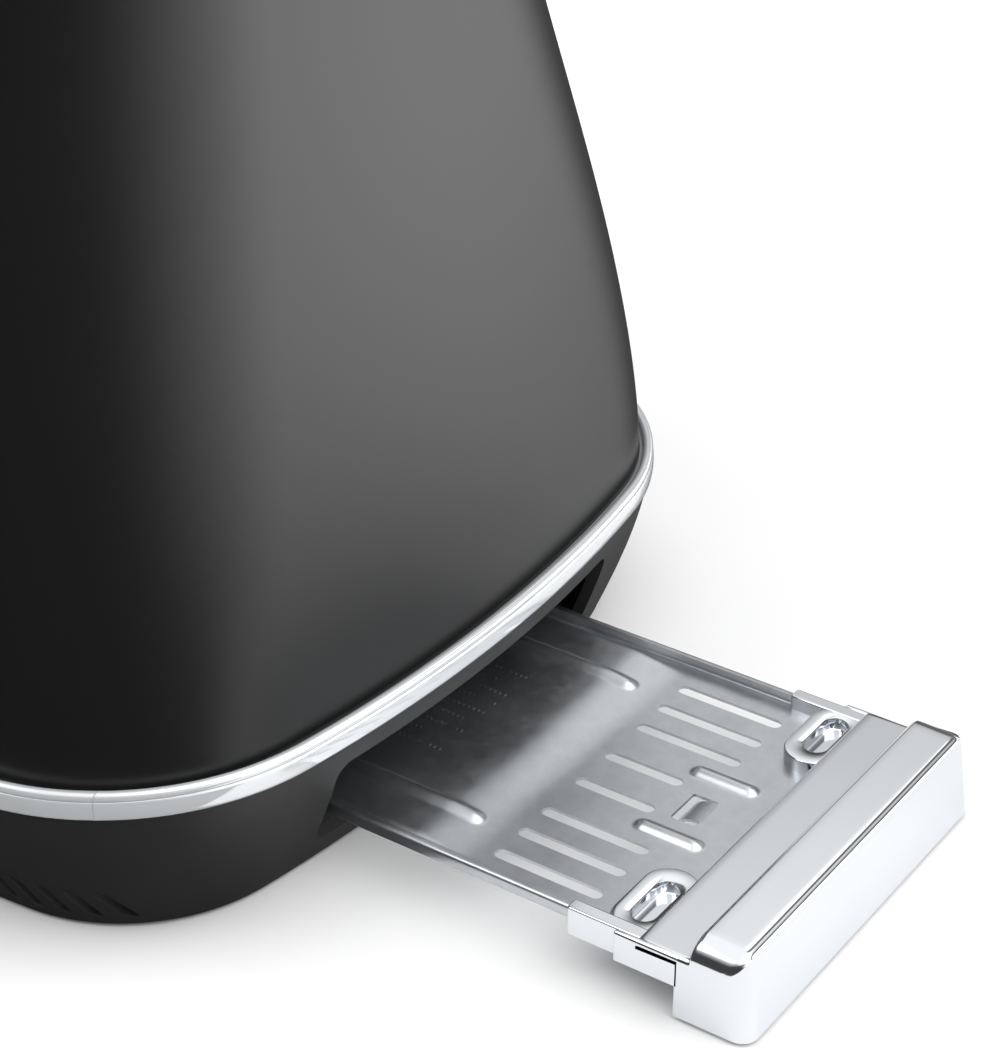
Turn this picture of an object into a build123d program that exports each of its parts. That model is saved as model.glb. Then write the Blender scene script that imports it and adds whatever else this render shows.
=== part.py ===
from build123d import *
from math import atan2, cos, hypot, pi, radians, sin, sqrt
import os

# A two-slice pop-up toaster, in millimetres.  +Z is up, +X points out of the end that the
# crumb tray slides from, -X is the end with the controls.  The origin is on the surface that
# the toaster stands on, below the middle of its housing.  The crumb tray is drawn partly out.

# ---------------------------------------------------------------- outline seen from above
half_length = 144.54           # widest outline, at the foot of the chrome band
half_width = 92.98
end_bow = 300.98               # radius of the two bowed short ends
side_bow = 1144.95             # radius of the two bowed long sides
band_corner = 46.7             # corner radius at the foot of the chrome band
fit_gap = 0.3                  # clearance between pieces that do not touch
running_gap = 0.05             # radial clearance of a shaft in its hole
sheet = 0.8                    # thickness of the stamped steel inside

# ---------------------------------------------------------------- base
foot_drop = 0.8                # rubber feet hold the base this far off the surface
plinth_top = 29.6
plinth_wall = 2.5
plinth_top_inset = 1.0
plinth_foot_inset = 11.05
plinth_foot_corner = 32.4
plinth_curve = 1.3             # 1 is a straight taper, more is rounder
plinth_flange = 8.0            # width of the flat flange round the top of the base
plinth_flange_thick = 2.5
base_plate_bottom = 2.0
base_plate_thick = 1.2
base_plate_top = base_plate_bottom + base_plate_thick
vent_slits = 9
vent_pitch = 6.3
vent_width = 2.4
vent_length = 5.2
vent_lean = 42.0
vent_first_x = half_length - 35.0
foot_radius, foot_stem, foot_head = 8.0, 4.0, 4.8
foot_x, foot_y = half_length - 41.0, half_width - 41.0
boss_x, boss_radius, boss_rib = half_length - 61.0, 4.5, 2.4
boss_y = half_width - plinth_foot_inset - plinth_wall - boss_x ** 2 / (2 * side_bow) - boss_radius
base_screw_radius, base_screw_head, base_screw_length = 1.5, 2.8, 8.0
air_slots, air_slot_pitch, air_slot_y = 7, 18.0, 52.0

# ---------------------------------------------------------------- chrome band and housing
band_height = 5.2
band_ledge = 3.7               # the housing stands on this ledge inside the band
band_lip = 2.3                 # width of the rolled lip
band_width = 7.5
seam_x, seam_width = half_length - 24.24, 0.35
housing_foot = plinth_top + band_ledge
housing_top = 200.0
housing_inset = 3.1            # the housing stands this far inside the band
housing_corner = 42.1
housing_wall = 1.0
housing_taper = (7.9, 59.5, -42.0)
crown_radius = 12.0

# ---------------------------------------------------------------- bread slots and chamber
slot_half_length = 72.0
slot_centre_y = 26.0
slot_width = 30.0
slot_corner = 4.0
surround_margin = 12.0         # steel beyond the ends of the slots
surround_side = 5.5            # steel beyond the outer sides of the slots
surround_corner = 12.0
surround_thick = 1.0
surround_seat = 3.0            # the surround rests on this much of the housing's crown
surround_lip = 5.0
lip_wall = 0.8
surround_half_x = slot_half_length + surround_margin
surround_half_y = slot_centre_y + slot_width / 2 + surround_side
chassis_thick = 1.2
chassis_top = plinth_top + chassis_thick
chamber_x = slot_half_length + 8.0       # inner faces of the two chamber end plates
chamber_y = slot_centre_y + slot_width / 2 + 13.0
chamber_top = housing_top - 12.0
plate_foot = 8.0
board_thick = 0.6
ribbon_thick, ribbon_width, ribbon_runs = 0.3, 1.6, 12
heater_y = chamber_y - 5.0

# ---------------------------------------------------------------- carriage
lift_travel = 58.0
rest_z = 98.0                  # underside of the bread rests with the carriage up
rest_low = rest_z - lift_travel
rest_height, rest_half_width, rest_thick = 7.0, 4.0, 1.0
rest_tab, rest_slot_gap = 1.6, 0.8
tooth_pitch, tooth_gap = 8.0, 4.0
rod_x, rod_y, rod_radius = -chamber_x - 21.0, 14.0, 2.0
carriage_x = rod_x + 3.5       # middle of the carriage's plate
carriage_plate = 1.5
carriage_foot = rest_z - 1.0
cross_bar_height = 10.0
sleeve_radius, sleeve_height = 4.0, 12.0
lever_z = 160.0                # middle of the lever with the carriage up
lever_arm_thick, lever_arm_height, lever_socket = 4.0, 9.0, 8.0
lever_half_width, lever_half_height, lever_depth = 17.0, 6.5, 16.0
lever_gap = 2.6                # between the grip and the panel with the lever down
rod_bracket_z = lever_z + 8.0
bracket_lip = 5.0
spring_x, spring_radius, spring_wire, spring_turns = rod_x + 11.5, 3.2, 0.35, 18
spring_tongue = 1.2
spring_foot = carriage_foot + cross_bar_height - spring_tongue / 2
keeper_thick, keeper_half_x, keeper_half_y = 2.0, 5.0, 6.0
magnet_x, magnet_radius, core_radius = rod_x - 10.0, 6.5, 3.0
keeper_top = carriage_foot + 5.0
magnet_top = keeper_top - keeper_thick - lift_travel - 0.4

# ---------------------------------------------------------------- heaters and bread guards
guard_wire = 0.8
guard_pin = 1.0
guard_bottom, guard_top = rest_low - 2.0, chamber_top - 4.0
guard_set_back = 1.5           # the guards stand this far outside the slots' edges
guard_outer = slot_centre_y + slot_width / 2 + guard_set_back
guard_inner = slot_centre_y - slot_width / 2 - guard_set_back
guard_wires = 8
heater_bottom, heater_top = rest_low, chamber_top - 12.0

# ---------------------------------------------------------------- crumb tray and its rails
tray_travel_in = 67.0          # from where it is drawn to fully home
handle_back = half_length - 4.04 + tray_travel_in
tray_half_width = 37.55
tray_floor = 10.1              # upper face of the tray's floor
opening_half = tray_half_width + 3.95    # opening in the base that the tray slides through
opening_foot, opening_top, opening_corner = 6.4, 24.8, 4.0
tray_sheet = 0.6
tray_rim, tray_hem = 2.4, 1.4
tray_front = handle_back - 1.5
tray_rear = -chamber_x - 4.0 + tray_travel_in
rail_front = foot_x - 6.0
rail_back = tray_rear - tray_travel_in - 4.0
rail_shelf, rail_lip, rail_foot = 5.0, 1.6, 6.0
slot_w = 2.6
long_slot_rows = [tray_half_width * share for share in (0.791, 0.599, 0.4075)]
short_slot_row = 4.7
slot_rear, long_slot_front, short_slot_front = tray_front - 42.6, tray_front - 21.1, tray_front - 26.6
rib_y, rib_rear, rib_front, rib_radius, rib_rise = 9.3, tray_front - 27.5, tray_front - 14.0, 1.15, 0.9
bead_y, bead_front, bead_length = 24.5, tray_front - 48.6, 70.0
bead_radius, bead_rise = 1.3, 0.8
catch_rear, catch_front, catch_left, catch_right = tray_front - 23.4, tray_front - 18.4, -4.7, 3.5

# ---------------------------------------------------------------- tray handle
handle_top_front, handle_foot_front = handle_back + 9.5, handle_back + 11.5
handle_side_back = handle_back - 2.7
handle_top, handle_foot = 17.0, 0.8
handle_half = tray_half_width + 1.65
handle_round, handle_edge = 4.2, 1.3
flange_back, flange_top = handle_back - 10.2, 13.2
wing_foot = 7.0
clip_front, clip_step, clip_inset = handle_back - 24.2, handle_back - 14.5, 1.0
tongue_front, tongue_top, tongue_corner = handle_back - 18.1, 12.8, 5.0
tongue_in, tongue_out = tray_half_width - 18.55, tray_half_width - 1.85
stadium_x, stadium_half = handle_back - 12.9, 2.2
stadium_in, stadium_out = tray_half_width - 14.85, tray_half_width - 3.25

# ---------------------------------------------------------------- controls
panel_half = 27.0
panel_foot, panel_top = 42.0, 172.0
panel_sunk = 0.3               # the panel's face lies this far below the housing's
panel_thick = 2.6
panel_corner = 8.0
lever_slot_half, lever_slot_over = 3.6, 2.0
knob_z, knob_radius, knob_depth, knob_gap = 62.0, 14.0, 15.0, 3.4
knob_bore_depth, knob_flutes = 11.0, 24
dial_width, dial_gap, dial_proud = 2.8, 1.2, 4.5
shaft_radius, shaft_seat = 3.0, 5.0
button_z, button_radius, button_pitch = 87.0, 4.6, 17.0
button_travel, button_proud, collar_width = 1.5, 2.6, 1.0
pcb_thick, pcb_half_y = 1.6, 30.0
pcb_foot = chassis_top + 5.2
pcb_head = lever_z - lift_travel - lever_arm_height / 2 - 1.5    # below the lever's lowest place
pcb_hole_in, pcb_screw_radius, pcb_screw_head = 4.0, 1.25, 2.6
switch_depth, switch_half = 2.6, 3.0
gland_x, gland_z, gland_bore, gland_radius, gland_flange = -58.0, 14.0, 3.7, 5.6, 7.6


# ================================================================ helpers
def block(x0, x1, y0, y1, z0, z1):
    """A box given by its two corners."""
    centre = Pos((x0 + x1) / 2, (y0 + y1) / 2, (z0 + z1) / 2)
    return centre * Box(abs(x1 - x0), abs(y1 - y0), abs(z1 - z0))


def rod(x, y, z0, z1, radius):
    """An upright cylinder."""
    return Pos(x, y, (z0 + z1) / 2) * Cylinder(radius, z1 - z0)


def rod_x_way(x0, x1, y, z, radius):
    """A cylinder that lies along X."""
    return Pos((x0 + x1) / 2, y, z) * Rot(0, 90, 0) * Cylinder(radius, x1 - x0)


def rod_y_way(x, y0, y1, z, radius):
    """A cylinder that lies along Y."""
    return Pos(x, (y0 + y1) / 2, z) * Rot(90, 0, 0) * Cylinder(radius, y1 - y0)


def rounded_slab(x0, x1, y0, y1, z0, z1, corner):
    """A flat slab with rounded upright corners."""
    centre = Pos((x0 + x1) / 2, (y0 + y1) / 2, z0)
    return extrude(centre * RectangleRounded(x1 - x0, y1 - y0, corner), z1 - z0)


def both_sides(piece):
    """The piece and its mirror image across the middle plane."""
    return [piece, mirror(piece, Plane.XZ)]


def outline(inset, corner, z):
    """Bowed rectangle: two end arcs, two side arcs and four tangent corner arcs, shrunk by inset."""
    end_centre = half_length - inset - end_bow
    side_centre = half_width - inset - side_bow
    reach_end = end_bow - corner
    reach_side = side_bow - corner
    apart = hypot(end_centre, side_centre)
    along = (reach_end ** 2 - reach_side ** 2 + apart ** 2) / (2 * apart)
    across = sqrt(reach_end ** 2 - along ** 2)
    ux, uy = -end_centre / apart, side_centre / apart
    cx = end_centre + along * ux - across * uy
    cy = along * uy + across * ux
    end_x, end_y = end_centre + (cx - end_centre) * end_bow / reach_end, cy * end_bow / reach_end
    side_x, side_y = cx * side_bow / reach_side, side_centre + (cy - side_centre) * side_bow / reach_side
    mid_angle = (atan2(end_y - cy, end_x - cx) + atan2(side_y - cy, side_x - cx)) / 2
    mid_x, mid_y = cx + corner * cos(mid_angle), cy + corner * sin(mid_angle)
    tip_x, tip_y = half_length - inset, half_width - inset
    quarter = [(end_x, end_y), (mid_x, mid_y), (side_x, side_y)]
    top_left = [(-x, y) for x, y in reversed(quarter)]
    bottom_left = [(-x, -y) for x, y in quarter]
    bottom_right = [(x, -y) for x, y in reversed(quarter)]
    corners = [quarter, top_left, bottom_left, bottom_right]
    middles = [(0, tip_y), (-tip_x, 0), (0, -tip_y), (tip_x, 0)]
    edges = []
    for index, points in enumerate(corners):
        following = corners[(index + 1) % 4]
        edges.append(ThreePointArc(*[(x, y, z) for x, y in points]))
        bow = [points[2], middles[index], following[0]]
        edges.append(ThreePointArc(*[(x, y, z) for x, y in bow]))
    return Face(Wire(edges))


def stacked(levels, inset_at, corner_at, shrink=0.0):
    """A solid lofted through the outline at each level."""
    faces = [outline(inset_at(z) + shrink, max(corner_at(z) - shrink, 1.0), z) for z in levels]
    return loft(faces)


def even_levels(low, high, count):
    """Heights spaced evenly from low to high."""
    return [low + (high - low) * k / (count - 1) for k in range(count)]


def plinth_inset(z):
    """How far the base's outer face lies inside the widest outline."""
    share = max(1 - z / plinth_top, 0.0) ** plinth_curve
    return plinth_top_inset + (plinth_foot_inset - plinth_top_inset) * share


def plinth_corner(z):
    """Corner radius of the base's outer face."""
    share = z / plinth_top
    return plinth_foot_corner + (band_corner - plinth_top_inset - plinth_foot_corner) * share


def housing_set_in(z):
    """How far the housing's outer face lies inside the widest outline."""
    u = (z - housing_foot) / (housing_top - housing_foot)
    a, b, c = housing_taper
    return housing_inset + a * u + b * u ** 2 + c * u ** 3


def housing_corner_at(z):
    """The housing keeps one corner radius all the way up."""
    return housing_corner


def housing_end(z):
    """X of the housing's outer face at the middle of its short end."""
    return half_length - housing_set_in(z)


def housing_solid(shrink):
    """The housing's outer form, made smaller all round by shrink, with its rounded crown."""
    levels = even_levels(housing_foot, housing_top - shrink, 7)
    body = stacked(levels, housing_set_in, housing_corner_at, shrink)
    crown = body.edges().group_by(Axis.Z)[-1]
    return fillet(crown, crown_radius - shrink)


def end_fall(y):
    """How far the bowed end falls back at a distance y to the side of its middle."""
    return end_bow - sqrt(end_bow ** 2 - y ** 2)


def panel_back(z):
    """X of the control panel's inner face at the middle of the front end."""
    return -housing_end(z) + panel_sunk + panel_thick


collar_reach = button_radius + collar_width
collar_x = panel_back(button_z + collar_reach) + end_fall(button_pitch + collar_reach) + fit_gap
board_x = collar_x + 2 * collar_width + button_travel + fit_gap + switch_depth + pcb_thick
lever_inner_x = -housing_end(lever_z - lift_travel - lever_half_height) - lever_gap
knob_x = -housing_end(knob_z) - knob_gap


# ================================================================ base
def boss_places():
    """Centres of the four screw bosses."""
    return [(x, y) for x in (-boss_x, boss_x) for y in (-boss_y, boss_y)]


def foot_places():
    """Centres of the four rubber feet."""
    return [(x, y) for x in (-foot_x, foot_x) for y in (-foot_y, foot_y)]


def cut_vents(solid):
    """Cut the leaning air slits that rise from the lower edge of both long sides."""
    lean = radians(vent_lean)
    depth = 4 * plinth_foot_inset
    for side in (-1, 1):
        y = side * (half_width - plinth_foot_inset)
        for k in range(vent_slits):
            x = vent_first_x - k * vent_pitch
            solid -= Pos(x, y, 0) * Rot(0, -vent_lean, 0) * Box(vent_width, depth, 2 * vent_length)
            tip_x, tip_z = x - vent_length * sin(lean), vent_length * cos(lean)
            solid -= rod_y_way(tip_x, y - depth / 2, y + depth / 2, tip_z, vent_width / 2)
    return solid


def make_base_plinth():
    """Black plastic base: tapered wall, top flange, tray opening, air slits, screw bosses."""
    levels = even_levels(foot_drop, plinth_top, 6)
    form = stacked(levels, plinth_inset, plinth_corner)
    ceiling = plinth_top - plinth_flange_thick
    hollow_levels = [foot_drop - 1] + levels[1:-1] + [ceiling]
    hollow = stacked(hollow_levels, lambda z: plinth_inset(max(z, foot_drop)),
                     lambda z: plinth_corner(max(z, foot_drop)), plinth_wall)
    solid = form - hollow
    inner = plinth_top_inset + plinth_flange
    solid -= extrude(outline(inner, band_corner - inner, ceiling - 1), 5, dir=(0, 0, 1))
    mouth = Pos(half_length, 0, (opening_foot + opening_top) / 2) * Rot(0, 90, 0)
    shape = RectangleRounded(opening_top - opening_foot, 2 * opening_half, opening_corner)
    solid -= extrude(mouth * shape, 2 * plinth_foot_inset + 3 * plinth_wall, both=True)
    solid = cut_vents(solid)
    for x, y in boss_places():
        boss = rod(x, y, base_plate_top, ceiling, boss_radius)
        y0, y1 = sorted((y, y + (1 if y > 0 else -1) * (boss_radius + 2 * plinth_foot_inset)))
        boss += block(x - boss_rib / 2, x + boss_rib / 2, y0, y1, base_plate_top, ceiling) & form
        pilot = base_plate_top + base_screw_length + 1
        solid += boss - rod(x, y, base_plate_top, pilot, base_screw_radius + running_gap)
    return solid - rod_y_way(gland_x, half_width - 30, half_width + 5, gland_z,
                             gland_radius + running_gap)


def make_base_plate():
    """Steel plate that closes the base from below."""
    inset = plinth_inset(base_plate_bottom) + plinth_wall + fit_gap
    plate = extrude(outline(inset, plinth_foot_corner - plinth_wall, base_plate_bottom),
                    base_plate_thick, dir=(0, 0, 1))
    for x, y in boss_places():
        plate -= rod(x, y, 0, 10, base_screw_radius + fit_gap)
    for x, y in foot_places():
        plate -= rod(x, y, 0, 10, foot_stem + running_gap)
    for k in range(air_slots):
        x = (k - (air_slots - 1) / 2) * air_slot_pitch
        for y in (-air_slot_y, air_slot_y):
            plate -= rounded_slab(x - 6, x + 6, y - 1.5, y + 1.5, 0, 10, 1.4)
    return plate


def make_rubber_feet():
    """Four stepped rubber feet pushed into the base plate."""
    feet = []
    for x, y in foot_places():
        pad = rod(x, y, 0, base_plate_bottom, foot_radius)
        stem = rod(x, y, base_plate_bottom, base_plate_top, foot_stem)
        head = rod(x, y, base_plate_top, base_plate_top + 1.6, foot_head)
        feet.append(pad + stem + head)
    return Compound(children=feet)


def make_base_screws():
    """Cross-head screws that hold the base plate to the bosses."""
    screws = []
    depth = foot_drop + 0.6
    for x, y in boss_places():
        shank = rod(x, y, base_plate_bottom, base_plate_top + base_screw_length, base_screw_radius)
        head = rod(x, y, foot_drop, base_plate_bottom, base_screw_head)
        cross = block(x - 1.8, x + 1.8, y - 0.35, y + 0.35, 0, depth)
        cross += block(x - 0.35, x + 0.35, y - 1.8, y + 1.8, 0, depth)
        screws.append(shank + head - cross)
    return Compound(children=screws)


def make_tray_rails():
    """Two C-shaped steel rails on the base plate that the tray slides in."""
    web = tray_half_width + 2 * fit_gap
    shelf_top = tray_floor - tray_sheet - fit_gap
    lip_foot = tray_floor + tray_rim + fit_gap
    rail = block(rail_back, rail_front, web, web + sheet, base_plate_top, lip_foot + sheet)
    rail += block(rail_back, rail_front, web - rail_shelf, web, shelf_top - sheet, shelf_top)
    rail += block(rail_back, rail_front, web - rail_lip, web, lip_foot, lip_foot + sheet)
    rail += block(rail_back, rail_front, web + sheet, web + sheet + rail_foot,
                  base_plate_top, base_plate_top + sheet)
    return Compound(children=both_sides(rail))


def make_cord_gland():
    """Flanged grommet in the base's wall that a mains lead passes through."""
    wall_y = half_width - plinth_inset(gland_z) - gland_x ** 2 / (2 * side_bow)
    inner_y = wall_y - 2.5 * plinth_wall
    tube = rod_y_way(gland_x, inner_y - 2.5, wall_y + 2, gland_z, gland_radius)
    tube += rod_y_way(gland_x, inner_y - 2.5, inner_y, gland_z, gland_flange)
    return tube - rod_y_way(gland_x, inner_y - 10, wall_y + 10, gland_z, gland_bore)


# ================================================================ outer shells
def make_chrome_band():
    """Chrome strip round the foot of the housing, with a rolled lip and one butt joint."""
    outer = extrude(outline(0, band_corner, plinth_top), band_height, dir=(0, 0, 1))
    outer = fillet(outer.edges().group_by(Axis.Z)[-1], band_lip * 0.48)
    outer = fillet(outer.edges().group_by(Axis.Z)[0], band_lip * 0.2)
    seat = extrude(outline(band_lip, band_corner - band_lip, housing_foot), 10, dir=(0, 0, 1))
    core = extrude(outline(band_width, band_corner - band_width, plinth_top - 1), 20, dir=(0, 0, 1))
    joint = block(seam_x - seam_width / 2, seam_x + seam_width / 2,
                  -half_width, -half_width / 2, plinth_top - 1, plinth_top + band_height + 1)
    return outer - seat - core - joint


def make_body_shell():
    """Painted steel wrap, open below, with the slot opening and the control opening."""
    shell = housing_solid(0) - housing_solid(housing_wall)
    shell -= extrude(outline(housing_inset + housing_wall, housing_corner - housing_wall,
                             housing_foot - 2), 3, dir=(0, 0, 1))
    well_x, well_y = surround_half_x - surround_seat, surround_half_y - surround_seat
    shell -= rounded_slab(-well_x, well_x, -well_y, well_y, housing_top - 10, housing_top + 10,
                          surround_corner - surround_seat)
    window = Pos(-half_length, 0, (panel_foot + panel_top) / 2) * Rot(0, 90, 0)
    shape = RectangleRounded(panel_top - panel_foot, 2 * panel_half, panel_corner)
    return shell - extrude(window * shape, half_length / 2, both=True)


def make_slot_surround():
    """Polished steel plate on top, with a turned-down lip round each bread slot."""
    plate_top = housing_top + surround_thick
    plate = rounded_slab(-surround_half_x, surround_half_x, -surround_half_y, surround_half_y,
                         housing_top, plate_top, surround_corner)
    plate = fillet(plate.edges().group_by(Axis.Z)[-1], surround_thick * 0.6)
    half = slot_width / 2
    outer_x, outer_y = slot_half_length + lip_wall, half + lip_wall
    lip_foot = housing_top - surround_lip
    for y in (-slot_centre_y, slot_centre_y):
        plate += rounded_slab(-outer_x, outer_x, y - outer_y, y + outer_y, lip_foot, plate_top,
                              slot_corner + lip_wall)
    for y in (-slot_centre_y, slot_centre_y):
        plate -= rounded_slab(-slot_half_length, slot_half_length, y - half, y + half,
                              lip_foot - 1, plate_top + 1, slot_corner)
    return plate


# ================================================================ toasting chamber
def make_chassis_plate():
    """Steel floor inside the housing, open below the toasting chamber."""
    inset = band_width + fit_gap
    plate = extrude(outline(inset, band_corner - inset, plinth_top), chassis_thick, dir=(0, 0, 1))
    hole_x, hole_y = chamber_x - 4, tray_half_width - 2
    plate -= block(-hole_x, hole_x, -hole_y, hole_y, plinth_top - 1, chassis_top + 1)
    for y in (-rod_y, rod_y):
        plate -= rod(rod_x, y, plinth_top - 1, chassis_top + 1, rod_radius + running_gap)
    return plate


def make_end_plate(side):
    """Chamber end plate with slots for the bread rests and holes for the guard pins."""
    near, far = side * chamber_x, side * (chamber_x + sheet)
    low, high = min(near, far), max(near, far)
    plate = block(low, high, -chamber_y, chamber_y, chassis_top, chamber_top)
    toe = sorted((far, far + side * plate_foot))
    plate += block(*toe, -chamber_y, chamber_y, chassis_top, chassis_top + sheet)
    slot_half = rest_tab / 2 + rest_slot_gap
    for y in (-slot_centre_y, slot_centre_y):
        plate -= block(low - 1, high + 1, y - slot_half, y + slot_half,
                       rest_low - 2, rest_z + rest_height + 2)
    for y in (-guard_outer, -guard_inner, guard_inner, guard_outer):
        plate -= rod_x_way(low - 1, high + 1, y, guard_bottom, guard_pin + running_gap)
    return plate


def make_reflector(side):
    """Bright steel sheet outside each outer heater."""
    y0, y1 = sorted((side * (chamber_y - sheet), side * chamber_y))
    return block(-chamber_x, chamber_x, y0, y1, chassis_top, chamber_top)


def make_heater_board(y):
    """Mica sheet that carries a heating ribbon, standing between the end plates."""
    return block(-chamber_x, chamber_x, y - board_thick / 2, y + board_thick / 2,
                 chassis_top, chamber_top - 2)


def make_ribbon(y_face, way):
    """One heating ribbon: upright runs joined alternately at the top and the bottom."""
    half = slot_half_length
    step = 2 * half / (ribbon_runs - 1)
    edge = ribbon_width / 2
    y0, y1 = sorted((y_face, y_face + way * ribbon_thick))
    ribbon = block(-half - edge, -half + edge, y0, y1, heater_bottom, heater_top)
    for k in range(1, ribbon_runs):
        x = -half + k * step
        z = heater_top if k % 2 == 1 else heater_bottom
        ribbon += block(x - step - edge, x + edge, y0, y1, z - edge, z + edge)
        ribbon += block(x - edge, x + edge, y0, y1, heater_bottom, heater_top)
    return ribbon


def make_guard(y):
    """Wire guard beside a bread slot: a bottom pin, a top rail and upright wires."""
    reach = chamber_x + sheet + 1.5
    guard = rod_x_way(-reach, reach, y, guard_bottom, guard_pin)
    guard += rod_x_way(-slot_half_length, slot_half_length, y, guard_top, guard_wire)
    span = slot_half_length - 1
    for k in range(guard_wires):
        x = -span + 2 * span * k / (guard_wires - 1)
        guard += rod(x, y, guard_bottom, guard_top, guard_wire)
    return guard


# ================================================================ carriage
def make_guide_rods():
    """Two polished rods that the carriage slides on."""
    rods = [rod(rod_x, y, plinth_top, rod_bracket_z + sheet, rod_radius) for y in (-rod_y, rod_y)]
    return Compound(children=rods)


def make_rod_bracket():
    """Bracket on the chamber's front end plate that holds the rods' upper ends."""
    back = -chamber_x - sheet
    half_y = rod_y + bracket_lip
    plate = block(rod_x - bracket_lip, back, -half_y, half_y, rod_bracket_z, rod_bracket_z + sheet)
    plate += block(back - sheet, back, -half_y, half_y, rod_bracket_z, rod_bracket_z + 12)
    for y in (-rod_y, rod_y):
        plate -= rod(rod_x, y, rod_bracket_z - 1, rod_bracket_z + 2, rod_radius + running_gap)
    return plate


def make_carriage():
    """Stamped carriage: cross bar under both slots, upright, rod sleeves, lever arm, two tongues."""
    x0, x1 = carriage_x - carriage_plate / 2, carriage_x + carriage_plate / 2
    head = lever_z + 3
    half_y = rod_y + sleeve_radius
    bar_half = slot_centre_y + rest_half_width - 1
    body = block(x0, x1, -bar_half, bar_half, carriage_foot, carriage_foot + cross_bar_height)
    body += block(x0, x1, -half_y, half_y, carriage_foot, head)
    for y in (-rod_y, rod_y):
        for z in (carriage_foot, head - sleeve_height):
            body += rod(rod_x, y, z, z + sleeve_height, sleeve_radius)
    arm_y, arm_z = lever_arm_thick / 2, lever_arm_height / 2
    body += block(lever_inner_x - lever_socket, x0, -arm_y, arm_y, lever_z - arm_z, lever_z + arm_z)
    body += block(magnet_x - keeper_half_x, x0, -5, 5, keeper_top, keeper_top + 2)
    body += block(x1, spring_x + spring_radius + 1, -4, 4, spring_foot - spring_tongue, spring_foot)
    for y in (-rod_y, rod_y):
        body -= rod(rod_x, y, carriage_foot - 1, head + 1, rod_radius + running_gap)
    return body


def make_bread_rest(side):
    """Bread rest: a toothed strip along the slot on a web with a tab through each end plate."""
    y = side * slot_centre_y
    half_x = chamber_x - 3
    top = rest_z + rest_height
    rest = block(-half_x, half_x, y - rest_half_width, y + rest_half_width, top - rest_thick, top)
    front, back = carriage_x + carriage_plate / 2, chamber_x + sheet + 5
    rest += block(front, back, y - rest_tab / 2, y + rest_tab / 2, rest_z, top)
    teeth = int(half_x / tooth_pitch)
    for k in range(-teeth, teeth + 1):
        x = tooth_pitch * k
        for s in (-1, 1):
            y0, y1 = sorted((y + s * (rest_tab / 2 + 0.6), y + s * (rest_half_width + 1)))
            rest -= block(x - tooth_gap / 2, x + tooth_gap / 2, y0, y1, rest_z, top + 1)
    return rest


def make_lever_knob():
    """Moulded grip on the end of the lever arm."""
    grip = block(lever_inner_x - lever_depth, lever_inner_x, -lever_half_width, lever_half_width,
                 lever_z - lever_half_height, lever_z + lever_half_height)
    grip = fillet(grip.edges().filter_by(Axis.X), lever_half_height * 0.77)
    grip = fillet(grip.faces().sort_by(Axis.X)[0].edges(), 2.5)
    arm_y, arm_z = lever_arm_thick / 2, lever_arm_height / 2
    return grip - block(lever_inner_x - lever_socket, lever_inner_x + 1, -arm_y, arm_y,
                        lever_z - arm_z, lever_z + arm_z)


def make_lift_spring():
    """Tension spring between the carriage's tongue and the rod bracket."""
    foot = spring_foot + spring_wire + 0.1
    height = rod_bracket_z - spring_wire - 0.1 - foot
    path = Helix(height / spring_turns, height, spring_radius, center=(spring_x, 0, foot))
    profile = Plane(path @ 0, z_dir=path % 0) * Circle(spring_wire)
    return sweep(profile, path=path, is_frenet=True)


# ================================================================ crumb tray
def tray_slot(x0, x1, y):
    """A round-ended slot through the tray's floor."""
    centre = Pos((x0 + x1) / 2, y, tray_floor + 1)
    return extrude(centre * SlotOverall(x1 - x0, slot_w), -3)


def bead(x0, x1, y, radius, rise):
    """A long low rib with round ends, standing up from the tray's floor."""
    z = tray_floor + rise - radius
    rib = rod_x_way(x0 + radius, x1 - radius, y, z, radius)
    rib += Pos(x0 + radius, y, z) * Sphere(radius)
    rib += Pos(x1 - radius, y, z) * Sphere(radius)
    return rib & block(x0 - 1, x1 + 1, y - 5, y + 5, tray_floor - tray_sheet / 2, tray_floor + 5)


def make_crumb_tray():
    """Galvanised steel tray with a hemmed rim, slots, ribs and a lanced catch."""
    low = tray_floor - tray_sheet
    rim_top = tray_floor + tray_rim
    tray = block(tray_rear, tray_front, -tray_half_width, tray_half_width, low, tray_floor)
    tray += block(tray_rear, tray_rear + tray_sheet, -tray_half_width, tray_half_width, low, rim_top)
    for s in (-1, 1):
        edge = s * tray_half_width
        tray += block(tray_rear, tray_front, *sorted((edge, edge - s * tray_sheet)), low, rim_top)
        tray += block(tray_rear, tray_front, *sorted((edge, edge - s * tray_hem)),
                      rim_top - 0.7, rim_top)
    outer = [e for e in tray.edges().filter_by(Axis.X) if abs(e.center().Z - low) < 0.01]
    tray = fillet(outer, tray_sheet * 0.9)
    for s in (-1, 1):
        for y in long_slot_rows:
            tray -= tray_slot(slot_rear, long_slot_front, s * y)
        tray -= tray_slot(slot_rear, short_slot_front, s * short_slot_row)
        tray += bead(rib_rear, rib_front, s * rib_y, rib_radius, rib_rise)
        tray += bead(bead_front - bead_length, bead_front, s * bead_y, bead_radius, bead_rise)
    tray -= block(catch_rear, catch_front, catch_left, catch_right, low - 1, tray_floor + 1)
    tab_y0, tab_y1 = catch_left + 1.1, catch_right - 1.1
    tab = block(catch_front - 1.6, catch_front + 0.2, tab_y0, tab_y1, low - 2.2, low)
    mid_y = (tab_y0 + tab_y1) / 2
    tab += Pos(catch_front - 1.2, mid_y, low - 0.6) * Rot(0, 25, 0) * Box(4.4, tab_y1 - tab_y0, tray_sheet)
    return tray + tab


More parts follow.
